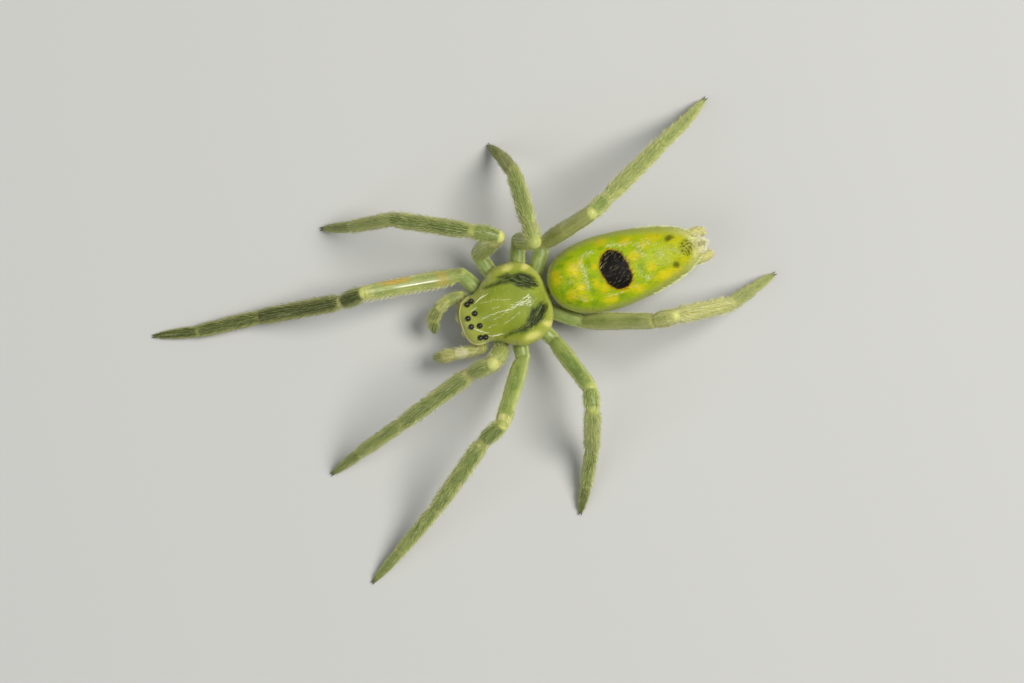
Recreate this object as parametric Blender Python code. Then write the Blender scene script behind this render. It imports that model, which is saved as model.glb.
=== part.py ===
"""A small green hunting spider, life size, standing on its eight feet.

The head looks along -Y, the spider's own left side is +X and +Z is up. Sizes are in millimetres
until finish() turns each finished mesh into metres.
"""

import math

import bmesh
import bpy
from mathutils import Matrix, Vector
from mathutils.bvhtree import BVHTree

MM = 0.001
WELD = 1e-5
GAP = 0.03
EYE_GAP = 0.012

LEFT = 1
RIGHT = -1
SIDE_NAMES = {LEFT: "left", RIGHT: "right"}

# Carapace, with Y measured from between the eyes
CARAPACE_FRONT = -0.45
CARAPACE_REAR = 2.36
CARAPACE_UNDERSIDE = 1.40
CARAPACE_EDGE = 1.44
HEAD_HALF_WIDTH = 0.75
THORAX_HALF_WIDTH = 1.27
HEAD_HEIGHT = 0.56
THORAX_HEIGHT = 0.74
THORAX_WIDEST_Y = 1.25

# Sternum, a shield whose flat sides each face one coxa
STERNUM_CORNERS = ((0.34, 0.36), (0.62, 0.84), (0.68, 1.36), (0.62, 1.86), (0.28, 2.30))
STERNUM_UNDERSIDE = 0.72
STERNUM_TOP = CARAPACE_UNDERSIDE - GAP
STERNUM_ROUNDING = 0.10

# Abdomen, a long oval whose axis turns a little to the left
ABDOMEN_FRONT = 2.42
ABDOMEN_WIDEST_Y = 4.25
ABDOMEN_TIP = 7.06
ABDOMEN_HALF_WIDTH = 1.125
ABDOMEN_TOP_HEIGHT = 0.86
ABDOMEN_BELLY_DEPTH = 0.95
ABDOMEN_FRONT_Z = 1.62
ABDOMEN_REAR_Z = 1.38
ABDOMEN_TURN = 0.077

# Rear of the abdomen: an upright face that carries the anal tubercle, and under its lower edge a face that leans
# forwards by this much for each millimetre down and carries the spinnerets
ABDOMEN_END = 6.95
END_EDGE_Z = 1.36
END_LEAN = 0.76
END_NORMAL = Vector((0, 1, -END_LEAN)).normalized()

PEDICEL_RADIUS = 0.14
PEDICEL_Z = 1.20

# Eyes: sideways and lengthwise place of the left one of each pair, and its radius
EYES = {
    "front_middle": (0.133, -0.150, 0.072),
    "front_side": (0.530, -0.020, 0.070),
    "rear_middle": (0.195, 0.095, 0.070),
    "rear_side": (0.575, 0.128, 0.070),
}
EYE_LIFT = 0.25

# Chelicerae, upright under the front edge of the carapace
CHELICERA_X = 0.225
CHELICERA_RADIUS = 0.205
CHELICERA_LINE = ((-0.24, STERNUM_TOP), (-0.32, 1.05), (-0.27, 0.66))

# Palps: plate beside the mouth, trochanter, bow of the femur, then the lengths of the femur's rest, patella,
# tibia and tarsus
PALP_ROOT = (0.20, 0.20, 1.00)
PALP_TROCHANTER = (0.58, 0.02, 1.05)
PALP_BOW = (0.86, -0.12, 1.20)
PALP_LENGTHS = (0.42, 0.32, 0.42, 0.46)
PALP_RADII = (0.15, 0.17, 0.18, 0.19, 0.17, 0.07)
PALP_POSES = {
    LEFT: ((101, 10), (103, 0), (100, -27), (101, -45)),
    RIGHT: ((90, 10), (110, -3), (126, -24), (166, -34)),
}

# Spinnerets: offset from the abdomen's axis, height, length, how far the tip turns sideways for each millimetre
# of length, and radius at root and tip
SPINNERETS = {
    "spinneret_left_upper": (0.41, 1.25, 0.55, -0.13, 0.172, 0.060),
    "spinneret_right_upper": (-0.33, 1.25, 0.57, 0.156, 0.172, 0.060),
    "spinneret_left_lower": (0.20, 0.97, 0.50, -0.09, 0.135, 0.070),
    "spinneret_right_lower": (-0.13, 0.97, 0.50, 0.09, 0.135, 0.070),
}
SPINNERET_DROOP = 0.12
SPINNERET_SINK = 0.25

# Anal tubercle, a flat cone over the spinnerets
TUBERCLE_TIP = 7.31
TUBERCLE_SIDE = 0.03
TUBERCLE_Z = 1.52
TUBERCLE_HALF_WIDTH = 0.30
TUBERCLE_HALF_HEIGHT = 0.115

# Lengths of femur, patella, tibia, metatarsus and tarsus in the four pairs of legs
LEG_LENGTHS = {
    1: (3.20, 0.82, 2.92, 1.95, 1.30),
    2: (2.84, 0.80, 2.90, 1.84, 1.28),
    3: (2.15, 0.65, 1.93, 1.24, 0.84),
    4: (3.28, 0.77, 2.68, 1.52, 1.10),
}

# Each leg: stretch of its lengths, trochanter beside the body, then heading and slope of femur, patella,
# tibia and metatarsus in degrees, and the heading of the tarsus, whose slope takes it down to the floor.
# Heading 0 is straight out to the side, 90 straight ahead and -90 straight back.
LEG_POSES = {
    (RIGHT, 1): (0.99, (1.43, 0.16, 1.10), ((79, 21), (90, -36), (78, -26), (81, -8)), 74),
    (LEFT, 1): (1.04, (1.16, 0.42, 1.10), ((60, 82), (90, -44), (76, -32), (77, -38)), 75),
    (RIGHT, 2): (1.00, (1.82, 0.84, 1.10), ((-75, 74), (56, 8), (59, -33), (77, -48)), 71),
    (LEFT, 2): (1.00, (1.55, 0.93, 1.10), ((39, 43), (71, -29), (57, -29), (62, -23)), 63),
    (RIGHT, 3): (1.00, (1.75, 2.12, 1.08), ((-124, 77), (-6, -30), (-6, -32), (15, -61)), 24),
    (LEFT, 3): (1.00, (1.40, 1.98, 1.08), ((-15, 33), (16, 13), (22, -50), (31, -28)), 33),
    (RIGHT, 4): (1.05, (1.38, 2.78, 1.04), ((-81, 62), (-68, -37), (-67, -34), (-68, -47)), -63),
    (LEFT, 4): (0.97, (1.24, 3.02, 1.04), ((-68, 50), (-82, 35), (-80, -47), (-101, -57)), -102),
}
COXA_ROOT_Z = 1.06
COXA_SINK = 0.12
COXA_RADII = (0.215, 0.245, 0.235)
FEMUR_RADII = (0.235, 0.260, 0.265, 0.255, 0.245)
TIBIA_RADII = (0.245, 0.250, 0.235, 0.240, 0.230, 0.225)
FOOT_RADII = (0.225, 0.205, 0.195, 0.190, 0.165, 0.075)
FOOT_TIP_Z = 0.060

TUBE_RESOLUTION = 4
CAP_STEPS = 3
CORNER_SHARE = 0.3
CORNER_STEPS = 4

MATERIALS = {
    "carapace": ((0.36, 0.45, 0.09), 0.35),
    "abdomen": ((0.33, 0.55, 0.03), 0.35),
    "leg": ((0.50, 0.60, 0.33), 0.35),
    "underside": ((0.50, 0.58, 0.30), 0.45),
    "palp": ((0.66, 0.68, 0.28), 0.35),
    "eye": ((0.01, 0.01, 0.01), 0.08),
    "spinneret": ((0.80, 0.80, 0.55), 0.50),
}


def clear_scene():
    for item in list(bpy.data.objects):
        bpy.data.objects.remove(item, do_unlink=True)


def mix(low, high, share):
    return low + (high - low) * share


def smooth_step(start, end, value):
    share = min(max((value - start) / (end - start), 0.0), 1.0)
    return share * share * (3.0 - 2.0 * share)


def rounded(share, swell, sharpness):
    """Falls from 1 at share 0 to 0 at share 1, as the end of an egg does."""
    share = min(max(share, 0.0), 1.0)
    return (1.0 - share**swell) ** (1.0 / sharpness)


def material(name):
    colour, roughness = MATERIALS[name]
    made = bpy.data.materials.get(name) or bpy.data.materials.new(name)
    made.use_nodes = True
    shader = made.node_tree.nodes["Principled BSDF"]
    shader.inputs["Base Color"].default_value = (*colour, 1.0)
    shader.inputs["Roughness"].default_value = roughness
    shader.inputs["Metallic"].default_value = 0.0
    return made


def finish(shape, name, finish_name, origin, parent):
    """Makes the millimetre shape an object in metres, with its own origin, under its parent."""
    bmesh.ops.triangulate(shape, faces=shape.faces)
    bmesh.ops.recalc_face_normals(shape, faces=shape.faces)
    mesh = bpy.data.meshes.new(name)
    shape.to_mesh(mesh)
    shape.free()
    mesh.transform(Matrix.Scale(MM, 4) @ Matrix.Translation(-Vector(origin)))
    mesh.shade_smooth()
    mesh.set_sharp_from_angle(angle=math.radians(40))
    mesh.materials.append(material(finish_name))
    made = bpy.data.objects.new(name, mesh)
    made.location = Vector(origin) * MM
    made.parent = parent
    bpy.data.collections["green_spider"].objects.link(made)
    return made


def cut(shape, place, away):
    """Removes what lies past the plane on the side that away points to, and closes the cut."""
    bmesh.ops.bisect_plane(
        shape,
        geom=shape.verts[:] + shape.edges[:] + shape.faces[:],
        dist=WELD,
        plane_co=place,
        plane_no=away,
        clear_outer=True,
    )
    bmesh.ops.holes_fill(shape, edges=shape.edges, sides=0)


def lofted(front, rear, section, rings, sides):
    """A closed body between two ends on Y. section(y) gives centre x, centre z, half-width, rise and drop."""
    shape = bmesh.new()
    bmesh.ops.create_uvsphere(shape, u_segments=sides, v_segments=rings, radius=1.0)
    for vert in shape.verts:
        y = mix(front, rear, (1.0 - vert.co.z) / 2.0)
        reach = max(math.hypot(vert.co.x, vert.co.y), WELD)
        sideways, upwards = vert.co.x / reach, vert.co.y / reach
        centre_x, centre_z, half_width, rise, drop = section(y)
        height = rise if upwards > 0.0 else drop
        vert.co = (centre_x + sideways * half_width, y, centre_z + upwards * height)
    bmesh.ops.recalc_face_normals(shape, faces=shape.faces)
    return shape


def tube(path, radii):
    """A closed round tube along the path, with its ends rounded past the first and last point."""
    places, sizes = [], []
    for end, inner in ((0, 1), (-1, -2)):
        outwards = (path[end] - path[inner]).normalized()
        cap = []
        for step in range(1, CAP_STEPS + 1):
            angle = math.radians(80) * step / CAP_STEPS
            cap.append((path[end] + outwards * radii[end] * math.sin(angle), radii[end] * math.cos(angle)))
        if end == 0:
            cap.reverse()
            places += [place for place, _ in cap] + list(path)
            sizes += [size for _, size in cap] + list(radii)
        else:
            places += [place for place, _ in cap]
            sizes += [size for _, size in cap]
    curve = bpy.data.curves.new("tube", "CURVE")
    curve.dimensions = "3D"
    curve.bevel_depth = 1.0
    curve.bevel_resolution = TUBE_RESOLUTION
    curve.use_fill_caps = True
    spline = curve.splines.new("POLY")
    spline.points.add(len(places) - 1)
    for point, place, size in zip(spline.points, places, sizes):
        point.co = (*place, 1.0)
        point.radius = size
    return mesh_of(curve)


def mesh_of(curve):
    """The curve's own surface as a welded, closed shape, with the curve removed."""
    holder = bpy.data.objects.new("holder", curve)
    bpy.context.scene.collection.objects.link(holder)
    evaluated = holder.evaluated_get(bpy.context.evaluated_depsgraph_get())
    mesh = bpy.data.meshes.new_from_object(evaluated)
    bpy.data.objects.remove(holder)
    bpy.data.curves.remove(curve)
    shape = bmesh.new()
    shape.from_mesh(mesh)
    bpy.data.meshes.remove(mesh)
    bmesh.ops.remove_doubles(shape, verts=shape.verts, dist=WELD)
    bmesh.ops.recalc_face_normals(shape, faces=shape.faces)
    return shape


def eased(points):
    """The points with each inner corner replaced by a short curve."""
    path = [points[0]]
    for before, corner, after in zip(points, points[1:], points[2:]):
        start = corner.lerp(before, CORNER_SHARE * min(1.0, (after - corner).length / (before - corner).length))
        end = corner.lerp(after, CORNER_SHARE * min(1.0, (before - corner).length / (after - corner).length))
        for step in range(CORNER_STEPS + 1):
            share = step / CORNER_STEPS
            path.append(start.lerp(corner, share).lerp(corner.lerp(end, share), share))
    path.append(points[-1])
    return path


def limb(points, radii):
    """A tube through the points whose thickness follows radii, spread evenly over its length."""
    path = eased(points)
    walked = [0.0]
    for near, far in zip(path, path[1:]):
        walked.append(walked[-1] + (far - near).length)
    spots = len(radii) - 1
    places, sizes = [], []
    for spot in range(spots * 2 + 1):
        share = spot / (spots * 2)
        distance = share * walked[-1]
        step = max(i for i, done in enumerate(walked[:-1]) if done <= distance + WELD)
        part = (distance - walked[step]) / (walked[step + 1] - walked[step])
        places.append(path[step].lerp(path[step + 1], part))
        low = min(int(share * spots), spots - 1)
        sizes.append(mix(radii[low], radii[low + 1], smooth_step(0.0, 1.0, share * spots - low)))
    return tube(places, sizes)


def direction(side, heading, slope):
    """Unit vector of a limb's segment on the given side of the body."""
    heading, slope = math.radians(heading), math.radians(slope)
    flat = math.cos(slope)
    return Vector((side * math.cos(heading) * flat, -math.sin(heading) * flat, math.sin(slope)))


def mitre(before, joint, after):
    """Normal of the plane that halves the bend at a joint, pointing towards the tip."""
    return ((joint - before).normalized() + (after - joint).normalized()).normalized()


def carapace_section(y):
    thorax = smooth_step(0.15, 1.20, y)
    nose = rounded(-y / -CARAPACE_FRONT, 2.5, 2.5)
    tail = rounded((y - THORAX_WIDEST_Y) / (CARAPACE_REAR - THORAX_WIDEST_Y), 2.6, 2.6)
    half_width = mix(HEAD_HALF_WIDTH, THORAX_HALF_WIDTH, thorax) * nose * tail
    brow = rounded(-y / -CARAPACE_FRONT, 3.0, 3.0)
    back = rounded((y - 0.9) / (CARAPACE_REAR - 0.9), 2.2, 1.8)
    rise = mix(HEAD_HEIGHT, THORAX_HEIGHT, smooth_step(-0.3, 1.1, y)) * brow * back
    return 0.0, CARAPACE_EDGE, half_width, rise, 0.10


def make_carapace(parent):
    shape = lofted(CARAPACE_FRONT, CARAPACE_REAR, carapace_section, rings=22, sides=36)
    cut(shape, (0, 0, CARAPACE_UNDERSIDE), (0, 0, -1))
    surface = BVHTree.FromBMesh(shape)
    finish(shape, "carapace", "carapace", (0, THORAX_WIDEST_Y, CARAPACE_UNDERSIDE), parent)
    return surface


def make_eyes(carapace_surface, parent):
    """Each eye is a dome that stands on the carapace just clear of its surface."""
    for side in (LEFT, RIGHT):
        for pair, (sideways, lengthwise, radius) in EYES.items():
            above = Vector((side * sideways, lengthwise, 5.0))
            ground, normal, _, _ = carapace_surface.ray_cast(above, Vector((0, 0, -1)))
            centre = ground + normal * radius * EYE_LIFT
            shape = bmesh.new()
            bmesh.ops.create_uvsphere(shape, u_segments=10, v_segments=8, radius=radius)
            bmesh.ops.translate(shape, verts=shape.verts, vec=centre)
            cut(shape, ground + normal * EYE_GAP, -normal)
            finish(shape, f"eye_{SIDE_NAMES[side]}_{pair}", "eye", centre, parent)


def make_sternum(parent):
    outline = [Vector((x, y, 0)) for x, y in STERNUM_CORNERS]
    outline += [Vector((-x, y, 0)) for x, y in reversed(STERNUM_CORNERS)]
    curve = bpy.data.curves.new("sternum", "CURVE")
    curve.dimensions = "2D"
    curve.fill_mode = "BOTH"
    curve.extrude = (STERNUM_TOP - STERNUM_UNDERSIDE) / 2
    spline = curve.splines.new("POLY")
    spline.points.add(len(outline) - 1)
    spline.use_cyclic_u = True
    for point, place in zip(spline.points, outline):
        point.co = (*place, 1.0)
    shape = mesh_of(curve)
    bmesh.ops.translate(shape, verts=shape.verts, vec=(0, 0, (STERNUM_TOP + STERNUM_UNDERSIDE) / 2))
    bmesh.ops.dissolve_limit(shape, angle_limit=math.radians(1), verts=shape.verts, edges=shape.edges)
    rim = [edge for edge in shape.edges if all(v.co.z < STERNUM_UNDERSIDE + WELD for v in edge.verts)]
    bmesh.ops.bevel(
        shape, geom=rim, offset=STERNUM_ROUNDING, segments=3, profile=0.5, affect="EDGES", material=-1
    )
    finish(shape, "sternum", "underside", (0, STERNUM_CORNERS[2][1], STERNUM_UNDERSIDE), parent)


def sternum_face(side, pair):
    """Middle and outward normal of the sternum's flat side that faces a coxa."""
    near, far = (Vector((side * x, y, 0)) for x, y in STERNUM_CORNERS[pair - 1 : pair + 1])
    along = far - near
    normal = Vector((side * along.y, -side * along.x, 0)).normalized()
    return (near + far) / 2 + Vector((0, 0, COXA_ROOT_Z)), normal


def abdomen_axis(y):
    """Sideways place and height of the abdomen's axis."""
    share = (y - ABDOMEN_FRONT) / (ABDOMEN_TIP - ABDOMEN_FRONT)
    return ABDOMEN_TURN * (y - ABDOMEN_FRONT), mix(ABDOMEN_FRONT_Z, ABDOMEN_REAR_Z, share)


def abdomen_section(y, grow=0.0):
    if y < ABDOMEN_WIDEST_Y:
        share = (ABDOMEN_WIDEST_Y - y) / (ABDOMEN_WIDEST_Y - ABDOMEN_FRONT + grow)
        size = rounded(share, 2.3, 2.3)
    else:
        size = rounded((y - ABDOMEN_WIDEST_Y) / (ABDOMEN_TIP - ABDOMEN_WIDEST_Y + grow), 1.5, 2.7)
    centre_x, centre_z = abdomen_axis(y)
    return (
        centre_x,
        centre_z,
        ABDOMEN_HALF_WIDTH * size + grow,
        ABDOMEN_TOP_HEIGHT * size + grow,
        ABDOMEN_BELLY_DEPTH * size + grow,
    )


def make_abdomen(parent):
    shape = lofted(ABDOMEN_FRONT, ABDOMEN_TIP, abdomen_section, rings=24, sides=28)
    cut(shape, (0, ABDOMEN_END, 0), (0, 1, 0))
    cut(shape, (0, ABDOMEN_END, END_EDGE_Z), END_NORMAL)
    finish(shape, "abdomen", "abdomen", (0, ABDOMEN_FRONT, PEDICEL_Z), parent)


def make_pedicel(parent):
    """The waist: a short tube from the sternum's rear side to the abdomen, shaped to both."""
    sternum_rear = STERNUM_CORNERS[-1][1]
    start = Vector((0, sternum_rear - 0.1, PEDICEL_Z))
    end = Vector((0, ABDOMEN_FRONT + 0.5, PEDICEL_Z))
    shape = tube([start, start.lerp(end, 0.5), end], [PEDICEL_RADIUS] * 3)
    cut(shape, (0, sternum_rear + GAP, 0), (0, -1, 0))
    made = finish(shape, "pedicel", "underside", (0, sternum_rear, PEDICEL_Z), parent)
    grown = lofted(
        ABDOMEN_FRONT - GAP, ABDOMEN_TIP, lambda y: abdomen_section(y, GAP), rings=36, sides=28
    )
    mesh = bpy.data.meshes.new("abdomen_cutter")
    grown.to_mesh(mesh)
    grown.free()
    mesh.transform(Matrix.Scale(MM, 4))
    cutter = bpy.data.objects.new("abdomen_cutter", mesh)
    cutter.parent = parent
    cutter.hide_render = True
    cutter.display_type = "WIRE"
    bpy.data.collections["cutters"].objects.link(cutter)
    clearance = made.modifiers.new("clearance", "BOOLEAN")
    clearance.object = cutter
    clearance.operation = "DIFFERENCE"
    clearance.solver = "EXACT"


def make_spinnerets(parent):
    face = Vector((0, ABDOMEN_END, END_EDGE_Z)) + END_NORMAL * GAP
    for name, (sideways, height, length, bend, root_radius, tip_radius) in SPINNERETS.items():
        root_y = ABDOMEN_END - (END_EDGE_Z - height) * END_LEAN
        root = Vector((abdomen_axis(root_y)[0] + sideways, root_y, height))
        sink = Vector((0, -SPINNERET_SINK, 0))
        straight = root + Vector((ABDOMEN_TURN * length, length - tip_radius, -SPINNERET_DROOP * length))
        tip = straight + Vector((bend * length, 0, 0))
        radii = [root_radius, root_radius * 1.03, root_radius * 0.97, tip_radius]
        shape = tube([root + sink, root.lerp(straight, 0.30), root.lerp(straight, 0.70), tip], radii)
        cut(shape, face, -END_NORMAL)
        finish(shape, name, "spinneret", root, parent)


def tubercle_section(y):
    size = rounded((y - ABDOMEN_END) / (TUBERCLE_TIP - ABDOMEN_END), 1.4, 1.3)
    sideways = abdomen_axis(y)[0] + TUBERCLE_SIDE
    height = TUBERCLE_HALF_HEIGHT * size
    return sideways, TUBERCLE_Z, TUBERCLE_HALF_WIDTH * size, height, height


def make_tubercle(parent):
    shape = lofted(ABDOMEN_END - 0.1, TUBERCLE_TIP, tubercle_section, rings=14, sides=20)
    cut(shape, (0, ABDOMEN_END + GAP, 0), (0, -1, 0))
    origin = (abdomen_axis(ABDOMEN_END)[0] + TUBERCLE_SIDE, ABDOMEN_END, TUBERCLE_Z)
    finish(shape, "anal_tubercle", "spinneret", origin, parent)


def make_chelicerae(parent):
    for side in (LEFT, RIGHT):
        line = [Vector((side * CHELICERA_X, y, z)) for y, z in CHELICERA_LINE]
        radii = (CHELICERA_RADIUS, CHELICERA_RADIUS, 0.20, 0.18, 0.13)
        shape = limb(line, radii)
        cut(shape, line[0], (0, 0, 1))
        finish(shape, f"chelicera_{SIDE_NAMES[side]}", "palp", line[0], parent)


def make_palps(parent):
    for side in (LEFT, RIGHT):
        name = f"palp_{SIDE_NAMES[side]}"
        mirror = Vector((side, 1, 1))
        points = [Vector(place) * mirror for place in (PALP_ROOT, PALP_TROCHANTER, PALP_BOW)]
        for length, (heading, slope) in zip(PALP_LENGTHS, PALP_POSES[side]):
            points.append(points[-1] + direction(side, heading, slope) * length)
        knee = points[3]
        bend = mitre(points[2], knee, points[4])
        base = limb(points[:4], PALP_RADII[:3])
        cut(base, (0, STERNUM_CORNERS[0][1] - GAP, 0), (0, 1, 0))
        cut(base, knee - bend * GAP / 2, bend)
        finish(base, f"{name}_base", "palp", points[0], parent)
        end = limb(points[3:], PALP_RADII[2:])
        cut(end, knee + bend * GAP / 2, -bend)
        finish(end, f"{name}_end", "palp", knee, parent)


def leg_joints(side, pair):
    """The leg's joints from the sternum's side to the tip: coxa root, trochanter, knee and on to the tip."""
    stretch, trochanter, segments, tarsus_heading = LEG_POSES[side, pair]
    root, _ = sternum_face(side, pair)
    joints = [root, Vector(trochanter) * Vector((side, 1, 1))]
    lengths = [length * stretch for length in LEG_LENGTHS[pair]]
    for length, (heading, slope) in zip(lengths, segments):
        joints.append(joints[-1] + direction(side, heading, slope) * length)
    drop = (joints[-1].z - FOOT_TIP_Z) / lengths[-1]
    slope = -math.degrees(math.asin(drop))
    joints.append(joints[-1] + direction(side, tarsus_heading, slope) * lengths[-1])
    return joints


def make_leg(side, pair, parent):
    name = f"leg_{SIDE_NAMES[side]}_{pair}"
    root, trochanter, knee, shin, ankle, heel, tip = leg_joints(side, pair)
    _, side_normal = sternum_face(side, pair)
    at_trochanter = mitre(root, trochanter, knee)
    at_knee = mitre(trochanter, knee, shin)
    at_ankle = mitre(shin, ankle, heel)

    inwards = (root - trochanter).normalized() * COXA_SINK
    coxa = limb([root + inwards, trochanter], COXA_RADII)
    cut(coxa, root + side_normal * GAP, -side_normal)
    cut(coxa, trochanter - at_trochanter * GAP / 2, at_trochanter)
    finish(coxa, f"{name}_coxa", "leg", root, parent)

    femur = limb([trochanter, knee], FEMUR_RADII)
    cut(femur, trochanter + at_trochanter * GAP / 2, -at_trochanter)
    cut(femur, knee - at_knee * GAP / 2, at_knee)
    finish(femur, f"{name}_femur", "leg", trochanter, parent)

    tibia = limb([knee, shin, ankle], TIBIA_RADII)
    cut(tibia, knee + at_knee * GAP / 2, -at_knee)
    cut(tibia, ankle - at_ankle * GAP / 2, at_ankle)
    finish(tibia, f"{name}_tibia", "leg", knee, parent)

    foot = limb([ankle, heel, tip], FOOT_RADII)
    cut(foot, ankle + at_ankle * GAP / 2, -at_ankle)
    cut(foot, (0, 0, 0), (0, 0, -1))
    finish(foot, f"{name}_foot", "leg", ankle, parent)


def centre_on_floor(root):
    """Moves the whole spider so that its box is centred on the origin and stands on the floor."""
    bpy.context.view_layer.update()
    corners = [
        piece.matrix_world @ vert.co
        for piece in bpy.data.collections["green_spider"].objects
        if piece.type == "MESH"
        for vert in piece.data.vertices
    ]
    lows = [min(corner[axis] for corner in corners) for axis in range(3)]
    highs = [max(corner[axis] for corner in corners) for axis in range(3)]
    root.location = (-(lows[0] + highs[0]) / 2, -(lows[1] + highs[1]) / 2, -lows[2])


def main():
    clear_scene()
    for name in ("green_spider", "cutters"):
        bpy.context.scene.collection.children.link(bpy.data.collections.new(name))
    root = bpy.data.objects.new("spider_root", None)
    bpy.data.collections["green_spider"].objects.link(root)
    carapace_surface = make_carapace(root)
    make_eyes(carapace_surface, root)
    make_sternum(root)
    make_abdomen(root)
    make_pedicel(root)
    make_spinnerets(root)
    make_tubercle(root)
    make_chelicerae(root)
    make_palps(root)
    for side, pair in LEG_POSES:
        make_leg(side, pair, root)
    centre_on_floor(root)


main()
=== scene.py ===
import math

import bmesh
import bpy
import numpy as np
from mathutils import Matrix, Vector
from mathutils.bvhtree import BVHTree


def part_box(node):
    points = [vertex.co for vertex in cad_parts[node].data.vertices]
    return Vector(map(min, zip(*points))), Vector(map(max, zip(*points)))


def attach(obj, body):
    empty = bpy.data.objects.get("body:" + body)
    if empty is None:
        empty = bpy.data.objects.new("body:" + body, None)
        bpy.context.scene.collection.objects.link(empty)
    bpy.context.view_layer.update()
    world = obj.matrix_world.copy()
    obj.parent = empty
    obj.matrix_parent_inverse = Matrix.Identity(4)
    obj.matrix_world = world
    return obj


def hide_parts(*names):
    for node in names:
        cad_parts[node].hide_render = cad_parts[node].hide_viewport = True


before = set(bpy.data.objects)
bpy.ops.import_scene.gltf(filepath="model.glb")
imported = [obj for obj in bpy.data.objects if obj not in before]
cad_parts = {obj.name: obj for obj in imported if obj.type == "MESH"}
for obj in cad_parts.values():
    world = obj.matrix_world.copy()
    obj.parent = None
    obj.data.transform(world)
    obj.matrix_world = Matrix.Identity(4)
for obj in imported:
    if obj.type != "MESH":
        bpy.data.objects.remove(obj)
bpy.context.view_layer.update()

# Sizes are in millimetres in the spider's own frame until place() puts a finished mesh in the row frame.
# The head looks along -Y, the spider's own left is +X, and X and Y start between the eyes.
MM = 0.001
WELD = 1e-5
LEFT = 1
RIGHT = -1
SIDE_NAMES = {LEFT: "left", RIGHT: "right"}
SEED = 4

# Body, as in the solids
CARAPACE_FRONT = -0.45
CARAPACE_REAR = 2.36
CARAPACE_UNDERSIDE = 1.40
CARAPACE_EDGE = 1.44
HEAD_HALF_WIDTH = 0.75
THORAX_HALF_WIDTH = 1.27
HEAD_HEIGHT = 0.56
THORAX_HEIGHT = 0.74
THORAX_WIDEST_Y = 1.25
STERNUM_CORNERS = ((0.34, 0.36), (0.62, 0.84), (0.68, 1.36), (0.62, 1.86), (0.28, 2.30))
STERNUM_UNDERSIDE = 0.72
ABDOMEN_FRONT = 2.42
ABDOMEN_WIDEST_Y = 4.25
ABDOMEN_TIP = 7.06
ABDOMEN_HALF_WIDTH = 1.125
ABDOMEN_TOP_HEIGHT = 0.86
ABDOMEN_BELLY_DEPTH = 0.95
ABDOMEN_FRONT_Z = 1.62
ABDOMEN_REAR_Z = 1.38
ABDOMEN_TURN = 0.077
ABDOMEN_END = 6.95
END_EDGE_Z = 1.36
END_LEAN = 0.76
END_NORMAL = Vector((0, 1, -END_LEAN)).normalized()
PEDICEL_Z = 1.20
EYES = {
    "front_middle": (0.133, -0.150, 0.072),
    "front_side": (0.530, -0.020, 0.070),
    "rear_middle": (0.195, 0.095, 0.070),
    "rear_side": (0.575, 0.128, 0.070),
}
EYE_LIFT = 0.25
SOCKET = 0.100
CHELICERA_X = 0.225
CHELICERA_LINE = ((-0.24, 1.46), (-0.32, 1.05), (-0.27, 0.68))
PALP_ROOT = (0.20, 0.20, 1.00)
PALP_TROCHANTER = (0.58, 0.02, 1.05)
PALP_BOW = (0.86, -0.12, 1.20)
PALP_LENGTHS = (0.42, 0.32, 0.42, 0.46)
PALP_POSES = {
    LEFT: ((101, 10), (103, 0), (100, -27), (101, -45)),
    RIGHT: ((90, 10), (110, -3), (126, -24), (166, -34)),
}
SPINNERETS = {
    "spinneret_left_upper": (0.41, 1.25, 0.55, -0.13, 0.172, 0.060),
    "spinneret_right_upper": (-0.33, 1.25, 0.57, 0.156, 0.172, 0.060),
    "spinneret_left_lower": (0.20, 0.97, 0.50, -0.09, 0.135, 0.070),
    "spinneret_right_lower": (-0.13, 0.97, 0.50, 0.09, 0.135, 0.070),
}
SPINNERET_DROOP = 0.12
SPINNERET_SINK = 0.25
TUBERCLE_TIP = 7.31
TUBERCLE_SIDE = 0.03
TUBERCLE_Z = 1.52
TUBERCLE_HALF_WIDTH = 0.30
TUBERCLE_HALF_HEIGHT = 0.115
SKIN_INSET = 0.008

# Legs, as in the solids: lengths, then stretch, trochanter and heading and slope of each segment
LEG_LENGTHS = {
    1: (3.20, 0.82, 2.92, 1.95, 1.30),
    2: (2.84, 0.80, 2.90, 1.84, 1.28),
    3: (2.15, 0.65, 1.93, 1.24, 0.84),
    4: (3.28, 0.77, 2.68, 1.52, 1.10),
}
LEG_POSES = {
    (RIGHT, 1): (0.99, (1.43, 0.16, 1.10), ((79, 21), (90, -36), (78, -26), (81, -8)), 74),
    (LEFT, 1): (1.04, (1.16, 0.42, 1.10), ((60, 82), (90, -44), (76, -32), (77, -38)), 75),
    (RIGHT, 2): (1.00, (1.82, 0.84, 1.10), ((-75, 74), (56, 8), (59, -33), (77, -48)), 71),
    (LEFT, 2): (1.00, (1.55, 0.93, 1.10), ((39, 43), (71, -29), (57, -29), (62, -23)), 63),
    (RIGHT, 3): (1.00, (1.75, 2.12, 1.08), ((-124, 77), (-6, -30), (-6, -32), (15, -61)), 24),
    (LEFT, 3): (1.00, (1.40, 1.98, 1.08), ((-15, 33), (16, 13), (22, -50), (31, -28)), 33),
    (RIGHT, 4): (1.05, (1.38, 2.78, 1.04), ((-81, 62), (-68, -37), (-67, -34), (-68, -47)), -63),
    (LEFT, 4): (0.97, (1.24, 3.02, 1.04), ((-68, 50), (-82, 35), (-80, -47), (-101, -57)), -102),
}
COXA_ROOT_Z = 1.06
FOOT_TIP_Z = 0.060

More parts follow.
